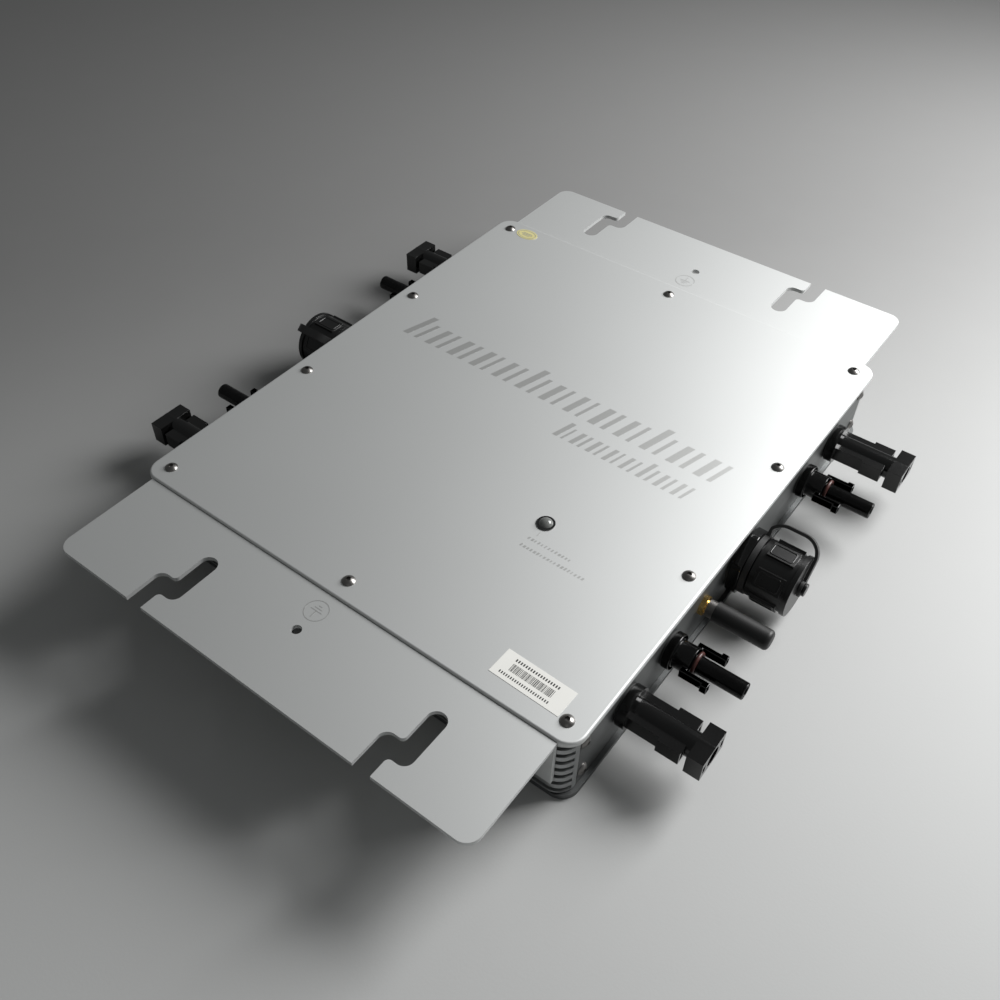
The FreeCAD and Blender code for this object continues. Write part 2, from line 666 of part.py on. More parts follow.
def end_plate(label, side):
    """A connector plate with two screw lugs at each long edge of its inner face."""
    body = new_body(label)
    pad(body, rectangle(body, "YZ_Plane", f"-{PLATE_END}", PLATE_END, FRAME_BOTTOM, FRAME_TOP, PLATE_BACK),
        "plate_thickness")
    for j in (-1, 1):
        for low, high in ((FRAME_BOTTOM, f"{FRAME_BOTTOM} + lug_height"), (f"{FRAME_TOP} - lug_height",
                                                                           FRAME_TOP)):
            lug = rectangle(body, "YZ_Plane", f"{j} * side_screw_y - lug_width / 2",
                            f"{j} * side_screw_y + lug_width / 2", low, high, PLATE_BACK)
            pad(body, lug, "lug_depth", back=True)
    dc_spots = [(f"{j} * {y}", "connector_height") for j in (-1, 1) for y in (MALE_Y, FEMALE_Y)]
    openings = [(dc_spots, "dc_shank_radius + fit_gap"),
                ([("0", "connector_height")], "ac_shank_radius + fit_gap"),
                ([(f"{j} * {PLATE_SCREW_Y}", height) for j in (-1, 1) for height in PLATE_SCREW_HEIGHTS],
                 "screw_hole_radius")]
    if side > 0:
        openings.append(([(ANTENNA_Y, "connector_height")], "jack_radius + fit_gap"))
    for spots, radius in openings:
        pocket(body, circles(body, "YZ_Plane", spots, radius, PLATE_BACK), "plate_thickness", back=True)
    spots = [(SIDE_SCREW_X, f"{j} * side_screw_y") for j in (-1, 1)]
    pocket(body, circles(body, "XY_Plane", spots, TAPPED, FRAME_TOP), "tapped_depth")
    pocket(body, circles(body, "XY_Plane", spots, TAPPED, FRAME_BOTTOM), "tapped_depth", back=True)
    body.Placement.Rotation = turned(side)
    keep(body, label)


def wing(label, side):
    """An angle bracket; its S slots are open at the outer edge."""
    body = new_body(label)
    half = "wing_length / 2"
    under = f"({WING_TOP} - wing_thickness)"
    pad(body, rectangle(body, "XY_Plane", f"-{half}", half, RAIL_FACE, WING_EDGE, under), "wing_thickness")
    leg = rectangle(body, "XY_Plane", f"-{half}", half, RAIL_FACE, f"{RAIL_FACE} + wing_thickness", under)
    pad(body, leg, "wing_leg_height - wing_thickness", back=True)
    corners = [(f"-{half}", WING_EDGE), (half, WING_EDGE)]
    soften(body, "Fillet", upright_edges(body.Shape, corners), Radius="wing_corner_radius")
    radius = "(slot_width / 2)"
    mouth = "(-slot_spacing / 2)"
    inner = "(-slot_spacing / 2 - slot_jog)"
    turn_y = f"({WING_EDGE} - slot_jog_margin)"
    end_y = f"({WING_EDGE} - slot_end_margin + slot_width / 2)"
    beyond = f"({WING_EDGE} + 1)"
    path = [(f"{mouth} + {radius}", beyond), (f"{mouth} + {radius}", turn_y, radius, -1),
            (mouth, f"{turn_y} - {radius}"), (f"{inner} + {radius}", f"{turn_y} - {radius}"),
            (f"{inner} + {radius}", end_y, radius, -1), (inner, f"{end_y} - {radius}", radius, -1),
            (f"{inner} - {radius}", end_y), (f"{inner} - {radius}", turn_y, radius, -1),
            (inner, f"{turn_y} + {radius}"), (f"{mouth} - {radius}", f"{turn_y} + {radius}"),
            (f"{mouth} - {radius}", beyond)]
    slot = pocket(body, outline(body, "XY_Plane", path, under), "wing_thickness", back=True)
    repeat(body, slot, "X_Axis", "slot_spacing", "2")
    lips = [(f"{mouth} + {shift} - {radius}", f"{turn_y} + {radius}") for shift in ("0", "slot_spacing")]
    lips += [(f"{inner} + {shift} + {radius}", f"{turn_y} - {radius}") for shift in ("0", "slot_spacing")]
    soften(body, "Fillet", upright_edges(body.Shape, lips), Radius="slot_lip_radius")
    ground = circles(body, "XY_Plane", [("0", f"{WING_EDGE} - ground_hole_margin")], "ground_hole_radius",
                     under)
    pocket(body, ground, "wing_thickness", back=True)
    holes = circles(body, "XZ_Plane", [(x, "wing_screw_height") for x in WING_SCREWS], "screw_hole_radius",
                    f"-{RAIL_FACE}")
    pocket(body, holes, "wing_thickness")
    body.Placement.Rotation = turned(side)
    keep(body, label)


# ---- screws ----

def button_screw(length):
    """A button-head screw with its head above z = 0."""
    ball = "((head_radius ^ 2 + (head_height - head_edge) ^ 2) / 2 / (head_height - head_edge))"
    sphere = bind(doc.addObject("Part::Sphere", "sphere"), Radius=ball)
    move(sphere, z=f"head_height - {ball}")
    head = common(rod("head_radius", "0", "head_height", "z"), sphere)
    recess = hexagon("socket_flats", "head_height - socket_depth", "head_height + 1", "z")
    return cut(fuse(head, rod("screw_radius", f"-({length})", "join_overlap", "z")), recess)


def countersunk_screw(length):
    """A flat-head screw with its head down, flush at z = 0."""
    head = cone("countersunk_radius", "screw_radius", "0", "countersunk_height", "z")
    recess = hexagon("socket_flats", "-1", "socket_depth", "z")
    return cut(fuse(head, rod("screw_radius", "countersunk_height - join_overlap", length, "z")), recess)


def case_screws():
    spots = COVER_SCREWS + LUG_SCREWS
    upper = button_screw("cover_screw_length")
    keep(group([copy(upper, x, y, "body_height") for x, y in spots]), "top_cover_screws")
    lower = countersunk_screw("cover_screw_length")
    keep(group([copy(lower, x, y) for x, y in spots]), "bottom_cover_screws")
    sideways = button_screw("plate_screw_length")
    keep(group([copy(sideways, f"{i} * {PLATE_FACE}", f"{j} * {PLATE_SCREW_Y}", height,
                     turned(i) * Rotation(Vector(0, 1, 0), 90))
                for i in (-1, 1) for j in (-1, 1) for height in PLATE_SCREW_HEIGHTS]), "end_plate_screws")
    outward = button_screw("wing_screw_length")
    keep(group([copy(outward, x, f"{j} * ({RAIL_FACE} + wing_thickness)", "wing_screw_height",
                     Rotation(Vector(1, 0, 0), -90 * j))
                for j in (-1, 1) for x in WING_SCREWS]), "wing_screws")


# ---- DC connectors ----

def mirrored_blocks(x0, x1, inner, outer, half_height):
    return [block(x0, x1, *span, f"-({half_height})", half_height)
            for span in ((inner, outer), (f"-({outer})", f"-({inner})"))]


def male_connector(label, side, y):
    """A shell round one pin, between two side rails with latch windows and a collar at the tip."""
    solids = [rod("dc_shank_radius", "-dc_shank_length", "seal_thickness + join_overlap"),
              rod("male_flange_radius", "seal_thickness", "male_flange_end"),
              rod("male_tube_radius", "male_flange_end - join_overlap", "male_length")]
    solids += mirrored_blocks("male_flange_end - join_overlap", "male_rail_start", "male_tube_radius - 2",
                              "male_body_half", "male_rail_half_height")
    solids += mirrored_blocks("male_rail_start - 2", "male_window_start", "male_tube_radius - 2",
                              "male_cage_half", "male_rail_half_height")
    collar = block("male_window_end", "male_length", "-male_cage_half", "male_cage_half",
                   "-male_cage_half_height", "male_cage_half_height")
    solids.append(collar)
    tools = mirrored_blocks("finger_slot_start", "male_length + 1", "finger_slot_inner", "finger_slot_outer",
                            "finger_slot_half_height")
    tools.append(rod("male_bore_radius", "male_bore_floor", "male_length + 1"))
    tools.append(rod("contact_radius + fit_gap", "-dc_shank_length - 1", "male_bore_floor + 1"))
    keep(on_plate(cut(fuse(*solids), *tools), side, y), label)


def female_connector(label, side, y):
    """A round nose with a socket contact, and two latch fingers moulded beside it."""
    nose = rod("female_nose_radius", "female_barrel_end - join_overlap", "female_length")
    solids = [rod("dc_shank_radius", "-dc_shank_length", "seal_thickness + join_overlap"),
              rod("female_flange_radius", "seal_thickness", "female_flange_end"),
              rod("female_barrel_radius", "female_flange_end - join_overlap", "female_barrel_end"), nose]
    solids += mirrored_blocks("finger_start", "female_barrel_end", "female_nose_radius", "finger_outer",
                              "finger_half_height")
    solids += mirrored_blocks("female_barrel_end - join_overlap", "finger_end", "finger_inner",
                              "finger_outer",
                              "finger_half_height")
    solids += mirrored_blocks("finger_end - finger_hook_length", "finger_end", "finger_outer - join_overlap",
                              "finger_outer + finger_hook", "finger_half_height")
    bore = rod("socket_radius + fit_gap", "-dc_shank_length - 1", "female_length + 1")
    keep(on_plate(cut(fuse(*solids), bore), side, y), label)


def dc_contacts():
    pieces = []
    pin = rod("contact_radius", "-contact_tail", "pin_length")
    socket = tube("socket_radius", "contact_radius + fit_gap", "-contact_tail",
                  "female_length - socket_recess")
    for side in (-1, 1):
        for j in (-1, 1):
            pieces.append(on_plate(copy(pin), side, f"{j} * {MALE_Y}"))
            pieces.append(on_plate(copy(socket), side, f"{j} * {FEMALE_Y}"))
    keep(group(pieces), "dc_contacts")


def connector_fittings():
    """Lock nuts behind the plates and seals in front of them."""
    dc_seal = tube("male_flange_radius - dc_seal_setback", "dc_shank_radius + fit_gap", "0", "seal_thickness")
    small_seal = tube("female_flange_radius - small_seal_setback", "dc_shank_radius + fit_gap", "0",
                      "seal_thickness")
    ac_seal = tube("ac_flange_flats / 2 - ac_seal_setback", "ac_shank_radius + fit_gap", "0",
                   "seal_thickness")
    dc_nut = cut(hexagon("dc_nut_flats", "-plate_thickness - dc_nut_thickness", "-plate_thickness"),
                 rod("dc_shank_radius + fit_gap", "-plate_thickness - dc_nut_thickness - 1", "1"))
    ac_nut = cut(hexagon("ac_nut_flats", "-plate_thickness - ac_nut_thickness", "-plate_thickness"),
                 rod("ac_shank_radius + fit_gap", "-plate_thickness - ac_nut_thickness - 1", "1"))
    seals = []
    nuts = []
    for side in (-1, 1):
        seals.append(on_plate(copy(ac_seal), side))
        nuts.append(on_plate(copy(ac_nut), side))
        for j in (-1, 1):
            seals.append(on_plate(copy(dc_seal), side, f"{j} * {MALE_Y}"))
            seals.append(on_plate(copy(small_seal), side, f"{j} * {FEMALE_Y}"))
            nuts.append(on_plate(copy(dc_nut), side, f"{j} * {MALE_Y}"))
            nuts.append(on_plate(copy(dc_nut), side, f"{j} * {FEMALE_Y}"))
    keep(group(seals), "panel_seals")
    keep(group(nuts), "connector_nuts")
    ring = torus("female_nose_radius + fit_gap + nose_ring_wire", "nose_ring_wire", "nose_ring_place")
    rings = [on_plate(copy(ring), side, f"{j} * {FEMALE_Y}") for side in (-1, 1) for j in (-1, 1)]
    keep(group(rings), "nose_seal_rings")


# ---- mains connectors and their caps ----

def ac_receptacle(label, side):
    flange = common(hexagon("ac_flange_flats", "seal_thickness", "ac_flange_end"),
                    rod("ac_flange_radius", "0", "ac_flange_end + 1"))
    shell = fuse(rod("ac_shank_radius", "-ac_shank_length", "seal_thickness + join_overlap"), flange,
                 rod("ac_shell_radius", "ac_flange_end - join_overlap", "ac_length"))
    bore = rod("ac_bore_radius", "-ac_shank_length - 1", "ac_length + 1")
    keep(on_plate(cut(shell, bore), side), label)


def pin_spots():
    """The three contact pins stand on a circle, one of them at the top."""
    return [(f"ac_pin_circle * cos({angle})", f"ac_pin_circle * sin({angle})") for angle in (90, 210, 330)]


def ac_contacts():
    core = rod("ac_bore_radius - fit_gap", "-ac_shank_length", "ac_insert_front")
    holes = [rod("ac_pin_radius + fit_gap", "-ac_shank_length - 1", "ac_insert_front + 1", "x", spot)
             for spot in pin_spots()]
    insert = cut(core, *holes)
    pins = group([rod("ac_pin_radius", "-contact_tail", "ac_pin_front", "x", spot) for spot in pin_spots()])
    keep(group([on_plate(copy(insert), side) for side in (-1, 1)]), "ac_inserts")
    keep(group([on_plate(copy(pins), side) for side in (-1, 1)]), "ac_contacts")


def ac_cap(label, side):
    """A dust cap with a rim and raised grip panels, bored for the shell and for its rivet."""
    shell = [rod(CAP_RADIUS, "cap_start", "cap_end"),
             rod(f"{CAP_RADIUS} + cap_rim_rise", "cap_end - cap_rim_width", "cap_end")]
    panel = block("grip_start", "grip_end", "-grip_width / 2", "grip_width / 2",
                  "ac_shell_radius + grip_root",
                  f"{CAP_RADIUS} + grip_rise")
    grips = int(number("grip_count"))
    shell += [copy(panel, rotation=Rotation(Vector(1, 0, 0), 360 * index / grips)) for index in range(grips)]
    tools = [rod("ac_shell_radius + fit_gap", "cap_start - 1", "cap_end - cap_wall_end"),
             rod("rivet_radius + fit_gap", "cap_start", "cap_end + 1")]
    keep(on_plate(cut(fuse(*shell), *tools), side), label)


def cap_rivet(label, side):
    """Holds the strap's eyelet to the cap, which turns on it."""
    inside = "(cap_end - cap_wall_end - eyelet_gap)"
    outside = "(cap_end + 2 * eyelet_gap + tether_thickness)"
    rivet = fuse(rod("rivet_radius", f"{inside} - rivet_tail + join_overlap", f"{outside} + join_overlap"),
                 rod("rivet_head_radius", f"{inside} - rivet_tail", inside),
                 rod("rivet_head_radius", outside, f"{outside} + rivet_head_height"))
    keep(on_plate(rivet, side), label)


def cap_tether(label, side):
    """A rubber strap: a ring on the shell, an arch past the cap and an eyelet on the rivet."""
    body = new_body(label)
    outer = "(tether_radius + tether_thickness / 2)"
    inner = "(tether_radius - tether_thickness / 2)"
    ring_radius = "(ac_shell_radius + fit_gap + tether_ring_wall)"
    foot = f"({ring_radius} - tether_root)"
    rise = f"({CAP_RADIUS} + cap_rim_rise - tether_tuck)"
    front = "(cap_end + eyelet_gap)"
    centre = f"({front} - {inner})"
    band = [(front, "eyelet_radius - 2"), (f"{centre} + {outer}", "eyelet_radius - 2"),
            (f"{centre} + {outer}", rise, outer, 1),
            (centre, f"{rise} + {outer}"), ("tether_back", f"{rise} + {outer}", outer, 1),
            (f"tether_back - {outer} * sin(tether_sweep)", f"{rise} + {outer} * cos(tether_sweep)"),
            ("tether_ring_start", foot), ("tether_ring_end - tether_root", foot),
            (f"tether_back - {inner} * sin(tether_sweep)", f"{rise} + {inner} * cos(tether_sweep)", inner,
             -1),
            ("tether_back", f"{rise} + {inner}"), (centre, f"{rise} + {inner}", inner, -1),
            (front, rise)]
    pad(body, outline(body, "XY_Plane", band), "tether_width", middle=True)
    ring = tube(ring_radius, "ac_shell_radius + fit_gap", "tether_ring_start", "tether_ring_end")
    eyelet = tube("eyelet_radius", "rivet_radius + fit_gap", front, f"{front} + tether_thickness")
    trim = rod("rivet_radius + fit_gap", f"{front} - 1", f"{front} + tether_thickness + 1")
    keep(on_plate(cut(fuse(body, ring, eyelet), trim), side, tilt=number("tether_tilt")), label)


# ---- antenna ----

def antenna():
    jack = fuse(rod("jack_radius", "-jack_tail", "jack_length"),
                hexagon("jack_flats", "-plate_thickness - 2", "-plate_thickness"))
    keep(on_plate(jack, 1, ANTENNA_Y), "antenna_jack")
    nut = cut(hexagon("jack_flats", "0", "jack_nut_thickness"), rod("jack_radius + fit_gap", "-1",
                                                                    "jack_length"))
    keep(on_plate(nut, 1, ANTENNA_Y), "antenna_nut")
    collar = cut(rod("antenna_collar_radius", "antenna_collar_start", "antenna_collar_end"),
                 rod("jack_radius + fit_gap", "0", "jack_length + collar_gap"))
    keep(on_plate(collar, 1, ANTENNA_Y), "antenna_collar")
    body = new_body("antenna_sleeve")
    tip = "(antenna_radius - antenna_tip_round)"
    bore = "(antenna_collar_radius + fit_gap)"
    profile = [("antenna_start", bore), ("antenna_start", "antenna_radius"),
               ("antenna_length - antenna_tip_round", "antenna_radius", "antenna_tip_round", -1),
               ("antenna_length", tip), ("antenna_length", "0"), ("antenna_collar_end", "0"),
               ("antenna_collar_end", bore)]
    sketch = outline(body, "XY_Plane", profile)
    turning = body.newObject("PartDesign::Revolution", "revolution")
    turning.Profile = sketch
    turning.ReferenceAxis = (origin_plane(body, "X_Axis"), [""])
    turning.Angle = 360
    doc.recompute()
    keep(on_plate(body, 1, ANTENNA_Y), "antenna_sleeve")


# ---- indicator light and labels ----

def indicator():
    spot = ("light_x", "light_y")
    bezel = cut(fuse(rod("bezel_radius", "body_height", "body_height + bezel_flange", "z", spot),
                     rod("bezel_sleeve_radius", f"{COVER_UNDER} - 1", "body_height + join_overlap", "z",
                         spot)),
                rod("lens_radius + fit_gap", f"{COVER_UNDER} - 2", "body_height + 2", "z", spot))
    keep(bezel, "light_bezel")
    rise = "(lens_rise - bezel_flange)"
    ball = f"((lens_radius ^ 2 + {rise} ^ 2) / 2 / {rise})"
    sphere = bind(doc.addObject("Part::Sphere", "sphere"), Radius=ball)
    move(sphere, *spot, f"body_height + lens_rise - {ball}")
    dome = common(rod("lens_radius", "body_height + bezel_flange", "body_height + lens_rise + 1", "z",
                      spot), sphere)
    stem = rod("lens_radius", f"{COVER_UNDER} - lens_depth", "body_height + bezel_flange", "z", spot)
    keep(fuse(dome, stem), "light_lens")
    top = f"({COVER_UNDER} - lens_depth - led_gap)"
    lamp = [rod("led_radius", f"{top} - led_height", top, "z", spot)]
    lamp += [block(f"light_x + {i} * led_pitch / 2 - led_leg / 2",
                   f"light_x + {i} * led_pitch / 2 + led_leg / 2", "light_y - led_leg / 2",
                   "light_y + led_leg / 2",
                   BOARD_TOP, f"{top} - led_height + join_overlap") for i in (-1, 1)]
    keep(fuse(*lamp), "status_led")


def labels():
    plate = block("-label_width / 2", "label_width / 2", "-label_height / 2", "label_height / 2", "0",
                  "label_thickness")
    turn = Rotation(Vector(0, 0, 1), number("label_turn"))
    keep(group([copy(plate, "body_width / 2 - label_inset_x", "label_inset_y - body_length / 2",
                     "body_height", turn)]), "number_label")
    ellipse = bind(doc.addObject("Part::Ellipse", "ellipse"), MajorRadius="sticker_major",
                   MinorRadius="sticker_minor")
    disc = doc.addObject("Part::Extrusion", "disc")
    disc.Base = ellipse
    disc.Dir = Vector(0, 0, 1)
    disc.DirMode = "Custom"
    disc.Solid = True
    bind(disc, LengthFwd="label_thickness")
    keep(move(disc, "sticker_inset_x - body_width / 2", "body_length / 2 - sticker_inset_y",
              "body_height"), "oval_sticker")


# ---- circuit board and internal parts ----

def board():
    body = new_body("main_board")
    outer = rectangle(body, "XY_Plane", f"-{BOARD_X}", BOARD_X, f"-{BOARD_Y}", BOARD_Y, "board_bottom")
    pad(body, outer, "board_thickness")
    holes = circles(body, "XY_Plane", BOARD_POSTS, "screw_hole_radius", "board_bottom")
    pocket(body, holes, "board_thickness", back=True)
    keep(body, "main_board")
    posts = [tube("standoff_radius", TAPPED, "cover_thickness", "board_bottom", "z",
                  spot) for spot in BOARD_POSTS]
    keep(group(posts), "board_posts")
    downward = button_screw("board_screw_length")
    screws = [copy(downward, x, y, BOARD_TOP) for x, y in BOARD_POSTS]
    inward = button_screw("clamp_screw_length")
    screws += [copy(inward, x, f"{j} * ({RAIL_INNER} - {CLAMP_STACK})", "clamp_height",
                    Rotation(Vector(1, 0, 0), 90 * j)) for j in (-1, 1) for x in CLAMP_SCREWS]
    keep(group(screws), "inner_screws")


def transformers():
    """Each core has a centre leg and two outer legs; its winding is a ring round the centre leg."""
    core_top = f"({BOARD_TOP} + core_height)"
    window_low = f"({BOARD_TOP} + core_leg)"
    window_high = f"({core_top} - core_leg)"
    cores = []
    windings = []
    for i in (-1, 1):
        for j in (-1, 1):
            x, y = f"{i} * transformer_x", f"{j} * transformer_y"
            frame = block(f"{x} - core_width / 2", f"{x} + core_width / 2", f"{y} - core_depth / 2",
                          f"{y} + core_depth / 2", BOARD_TOP, core_top)
            window_edges = [(f"{x} - core_width / 2 + core_leg", f"{x} - core_centre_leg / 2"),
                            (f"{x} + core_centre_leg / 2", f"{x} + core_width / 2 - core_leg")]
            windows = [block(low, high, f"{y} - core_depth", f"{y} + core_depth", window_low, window_high)
                       for low, high in window_edges]
            cores.append(cut(frame, *windows))
            coil = block(f"{x} - core_width / 2 + core_leg + winding_gap",
                         f"{x} + core_width / 2 - core_leg - winding_gap", f"{y} - winding_depth / 2",
                         f"{y} + winding_depth / 2", f"{window_low} + winding_gap",
                         f"{window_high} - winding_gap")
            leg = block(f"{x} - core_centre_leg / 2 - winding_gap",
                        f"{x} + core_centre_leg / 2 + winding_gap",
                        f"{y} - core_depth / 2 - winding_gap", f"{y} + core_depth / 2 + winding_gap",
                        BOARD_TOP,
                        core_top)
            windings.append(cut(coil, leg))
    keep(group(cores), "transformer_cores")
    keep(group(windings), "transformer_windings")


def capacitors_and_chokes():
    spots = [(f"{i} * input_can_x", f"{j} * {y}") for i in (-1, 1) for j in (-1, 1)
             for y in (INPUT_CAN_NEAR, f"({BOARD_Y} - input_can_inset)")]
    cans = [rod("input_can_radius", BOARD_TOP, f"{BOARD_TOP} + input_can_height", "z",
                spot) for spot in spots]
    keep(group(cans), "input_capacitors")
    films = [block("-film_width / 2", "film_width / 2", f"{j} * film_y - film_depth / 2",
                   f"{j} * film_y + film_depth / 2", BOARD_TOP,
                   f"{BOARD_TOP} + film_height") for j in (-1, 0, 1)]
    keep(group(films), "film_capacitors")
    rings = [torus("choke_radius", "choke_wire", f"{BOARD_TOP} + choke_wire", "z", (f"{i} * choke_x", "0"))
             for i in (-1, 1)]
    keep(group(rings), "output_chokes")


def transistors():
    """Power transistors are clamped to the rails, one on each side of every clamp screw."""
    packages = []
    pads = []
    bars = []
    for j in (-1, 1):
        back = f"{RAIL_INNER} - pad_thickness"
        front = f"{back} - transistor_depth"
        for x in CLAMP_SCREWS:
            for i in (-1, 1):
                centre = f"{x} + {i} * (transistor_width / 2 + head_radius + 1)"
                edges = (f"{centre} - transistor_width / 2", f"{centre} + transistor_width / 2")
                case = block(*edges, *ordered(j, front, back), "transistor_base",
                             "transistor_base + transistor_height")
                middle = f"{j} * ({front} + transistor_depth / 2)"
                legs = [block(f"{centre} + {k} * transistor_pitch - transistor_leg / 2",
                              f"{centre} + {k} * transistor_pitch + transistor_leg / 2",
                              f"{middle} - transistor_leg / 2", f"{middle} + transistor_leg / 2", BOARD_TOP,
                              "transistor_base + join_overlap") for k in (-1, 0, 1)]
                packages.append(fuse(case, *legs))
        sheet = block("-clamp_length / 2", "clamp_length / 2", *ordered(j, back, RAIL_INNER),
                      "transistor_base - 1",
                      "transistor_base + transistor_height + 1")
        bar = block("-clamp_length / 2", "clamp_length / 2", *ordered(j, f"{front} - clamp_thickness", front),
                    "clamp_height - clamp_half_height", "clamp_height + clamp_half_height")
        shanks = [rod(TAPPED, "-body_length", "body_length", "y", (x, "clamp_height")) for x in CLAMP_SCREWS]
        pads.append(cut(sheet, *shanks))
        bars.append(cut(bar, *shanks))
    keep(group(packages), "power_transistors")
    keep(group(pads), "thermal_pads")
    keep(group(bars), "clamp_bars")


def ordered(side, near, far):
    """The two limits of a span that is mirrored to the -Y side."""
    return (f"{near}", f"{far}") if side > 0 else (f"-({far})", f"-({near})")


def radio_module():
    """A small board on a pin header, beside the antenna jack."""
    low, high = f"{ANTENNA_Y} - radio_depth / 2", f"{ANTENNA_Y} + radio_depth / 2"
    header = block("radio_x - radio_width / 2", "radio_x + radio_width / 2", low, f"{low} + radio_header",
                   BOARD_TOP,
                   f"{BOARD_TOP} + radio_lift + join_overlap")
    card = block("radio_x - radio_width / 2", "radio_x + radio_width / 2", low, high,
                 f"{BOARD_TOP} + radio_lift",
                 f"{BOARD_TOP} + radio_lift + board_thickness")
    keep(fuse(header, card), "radio_module")


def lead(radius, bend, y, height, start, run, floor):
    """A wire from a contact tail: along -X, one round bend, then down. Drawn at the +X end plate."""
    corner = f"({start} - {run})"
    level = rod(radius, f"{corner} + {bend}", start, "x", (y, height))
    upright = rod(radius, floor, f"{height} - {bend}", "z", (corner, y))
    elbow = bind(doc.addObject("Part::Torus", "elbow"), Radius1=bend, Radius2=radius)
    elbow.Angle3 = 90
    move(elbow, f"{corner} + {bend}", y, f"{height} - {bend}", Rotation(Vector(1, 0, 0), 90)
         * Rotation(Vector(0, 0, 1), 90))
    return fuse(level, elbow, upright)


def leads():
    tail = f"({PLATE_FACE} - contact_tail)"
    wires = []
    for j in (-1, 1):
        for y in (MALE_Y, FEMALE_Y):
            wires.append(lead("lead_radius", "lead_bend", f"{j} * {y}", "connector_height", tail,
                              "lead_drop_x",
                              BOARD_TOP))
    for index, (y, rise) in enumerate(pin_spots()):
        run = "lead_drop_x" if index else "(lead_drop_x + lead_bend)"
        wires.append(lead("lead_radius", "lead_bend", y, f"(connector_height + {rise})", tail, run,
                          BOARD_TOP))
    bundle = group(wires)
    keep(group([copy(bundle, rotation=turned(side)) for side in (1, -1)]), "inner_leads")
    coax = lead("coax_radius", "coax_bend", ANTENNA_Y, "connector_height", f"({PLATE_FACE} - jack_tail)",
                f"({PLATE_FACE} - jack_tail - radio_x)", f"{BOARD_TOP} + radio_lift + board_thickness")
    keep(coax, "antenna_lead")


# ---- assembly ----

top_cover()
bottom_cover()
gasket("top_gasket", FRAME_TOP)
gasket("bottom_gasket", "cover_thickness")
for rail_name, rail_side in (("near_rail", -1), ("far_rail", 1)):
    finned_rail(rail_name, rail_side)
for side_name, plate_side in (("right", 1), ("left", -1)):
    end_plate(f"{side_name}_end_plate", plate_side)
    for place_name, connector_side in (("near", -1), ("far", 1)):
        male_connector(f"{side_name}_{place_name}_male_connector", plate_side, f"{connector_side} * {MALE_Y}")
        female_connector(f"{side_name}_{place_name}_female_connector", plate_side,
                         f"{connector_side} * {FEMALE_Y}")
    ac_receptacle(f"{side_name}_ac_receptacle", plate_side)
    ac_cap(f"{side_name}_ac_cap", plate_side)
    cap_rivet(f"{side_name}_cap_rivet", plate_side)
    cap_tether(f"{side_name}_cap_tether", plate_side)
wing("near_wing", -1)
wing("far_wing", 1)
case_screws()
dc_contacts()
connector_fittings()
ac_contacts()
antenna()
indicator()
labels()
board()
transformers()
capacitors_and_chokes()
transistors()
radio_module()
leads()
doc.recompute()


def check_and_write():
    """Stops at a failed object or shape, then writes each node's solids."""
    failed = [item.Label for item in doc.Objects if "Invalid" in item.State or "Error" in item.State]
    if failed:
        raise RuntimeError(f"failed objects: {failed}")
    for label, thing in nodes.items():
        if thing.Shape.isNull() or not thing.Shape.isValid() or not thing.Shape.Solids:
            raise RuntimeError(f"{label}: no valid solid")
    os.makedirs("parts", exist_ok=True)
    for label, thing in nodes.items():
        thing.Shape.exportStep(f"parts/{label}.step")
        print(f"{label}: {len(thing.Shape.Solids)} solids, {thing.Shape.Volume / 1000:.3f} cm3")
    print(f"{len(nodes)} nodes")


check_and_write()
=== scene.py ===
import json
import math
import bmesh
import bpy
import numpy as np
from mathutils import Matrix, Vector

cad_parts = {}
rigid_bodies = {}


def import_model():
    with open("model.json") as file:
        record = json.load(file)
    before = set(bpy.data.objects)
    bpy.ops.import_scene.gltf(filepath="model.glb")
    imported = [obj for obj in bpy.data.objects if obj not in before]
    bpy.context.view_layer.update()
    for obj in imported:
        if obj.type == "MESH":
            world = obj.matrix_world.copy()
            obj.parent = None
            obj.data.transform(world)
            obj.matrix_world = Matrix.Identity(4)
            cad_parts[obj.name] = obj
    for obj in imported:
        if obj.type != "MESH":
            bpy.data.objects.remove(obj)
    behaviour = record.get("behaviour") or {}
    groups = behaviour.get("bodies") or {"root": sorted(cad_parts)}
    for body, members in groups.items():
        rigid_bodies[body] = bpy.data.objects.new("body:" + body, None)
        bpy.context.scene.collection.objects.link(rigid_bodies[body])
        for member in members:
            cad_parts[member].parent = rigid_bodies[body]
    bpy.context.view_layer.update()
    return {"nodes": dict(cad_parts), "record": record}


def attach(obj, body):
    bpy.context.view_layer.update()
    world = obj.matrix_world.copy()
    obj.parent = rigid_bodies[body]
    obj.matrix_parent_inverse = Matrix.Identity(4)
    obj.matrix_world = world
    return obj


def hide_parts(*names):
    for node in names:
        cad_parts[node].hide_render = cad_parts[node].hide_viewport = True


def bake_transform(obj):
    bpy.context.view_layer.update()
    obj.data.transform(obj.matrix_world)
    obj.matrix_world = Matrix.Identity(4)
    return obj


# Flat sealed power converter with two mounting wings, on a pale floor with painted shade towards its far left.
for leftover in list(bpy.data.objects):
    bpy.data.objects.remove(leftover)
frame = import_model()
nodes = frame["nodes"]
mm = 0.001
printSink = 0.005  # millimetres that each printed mark reaches into its surface
axisHeight = 20.0  # connectors, caps and antenna above the resting face
print("frame loaded,", len(nodes), "parts")


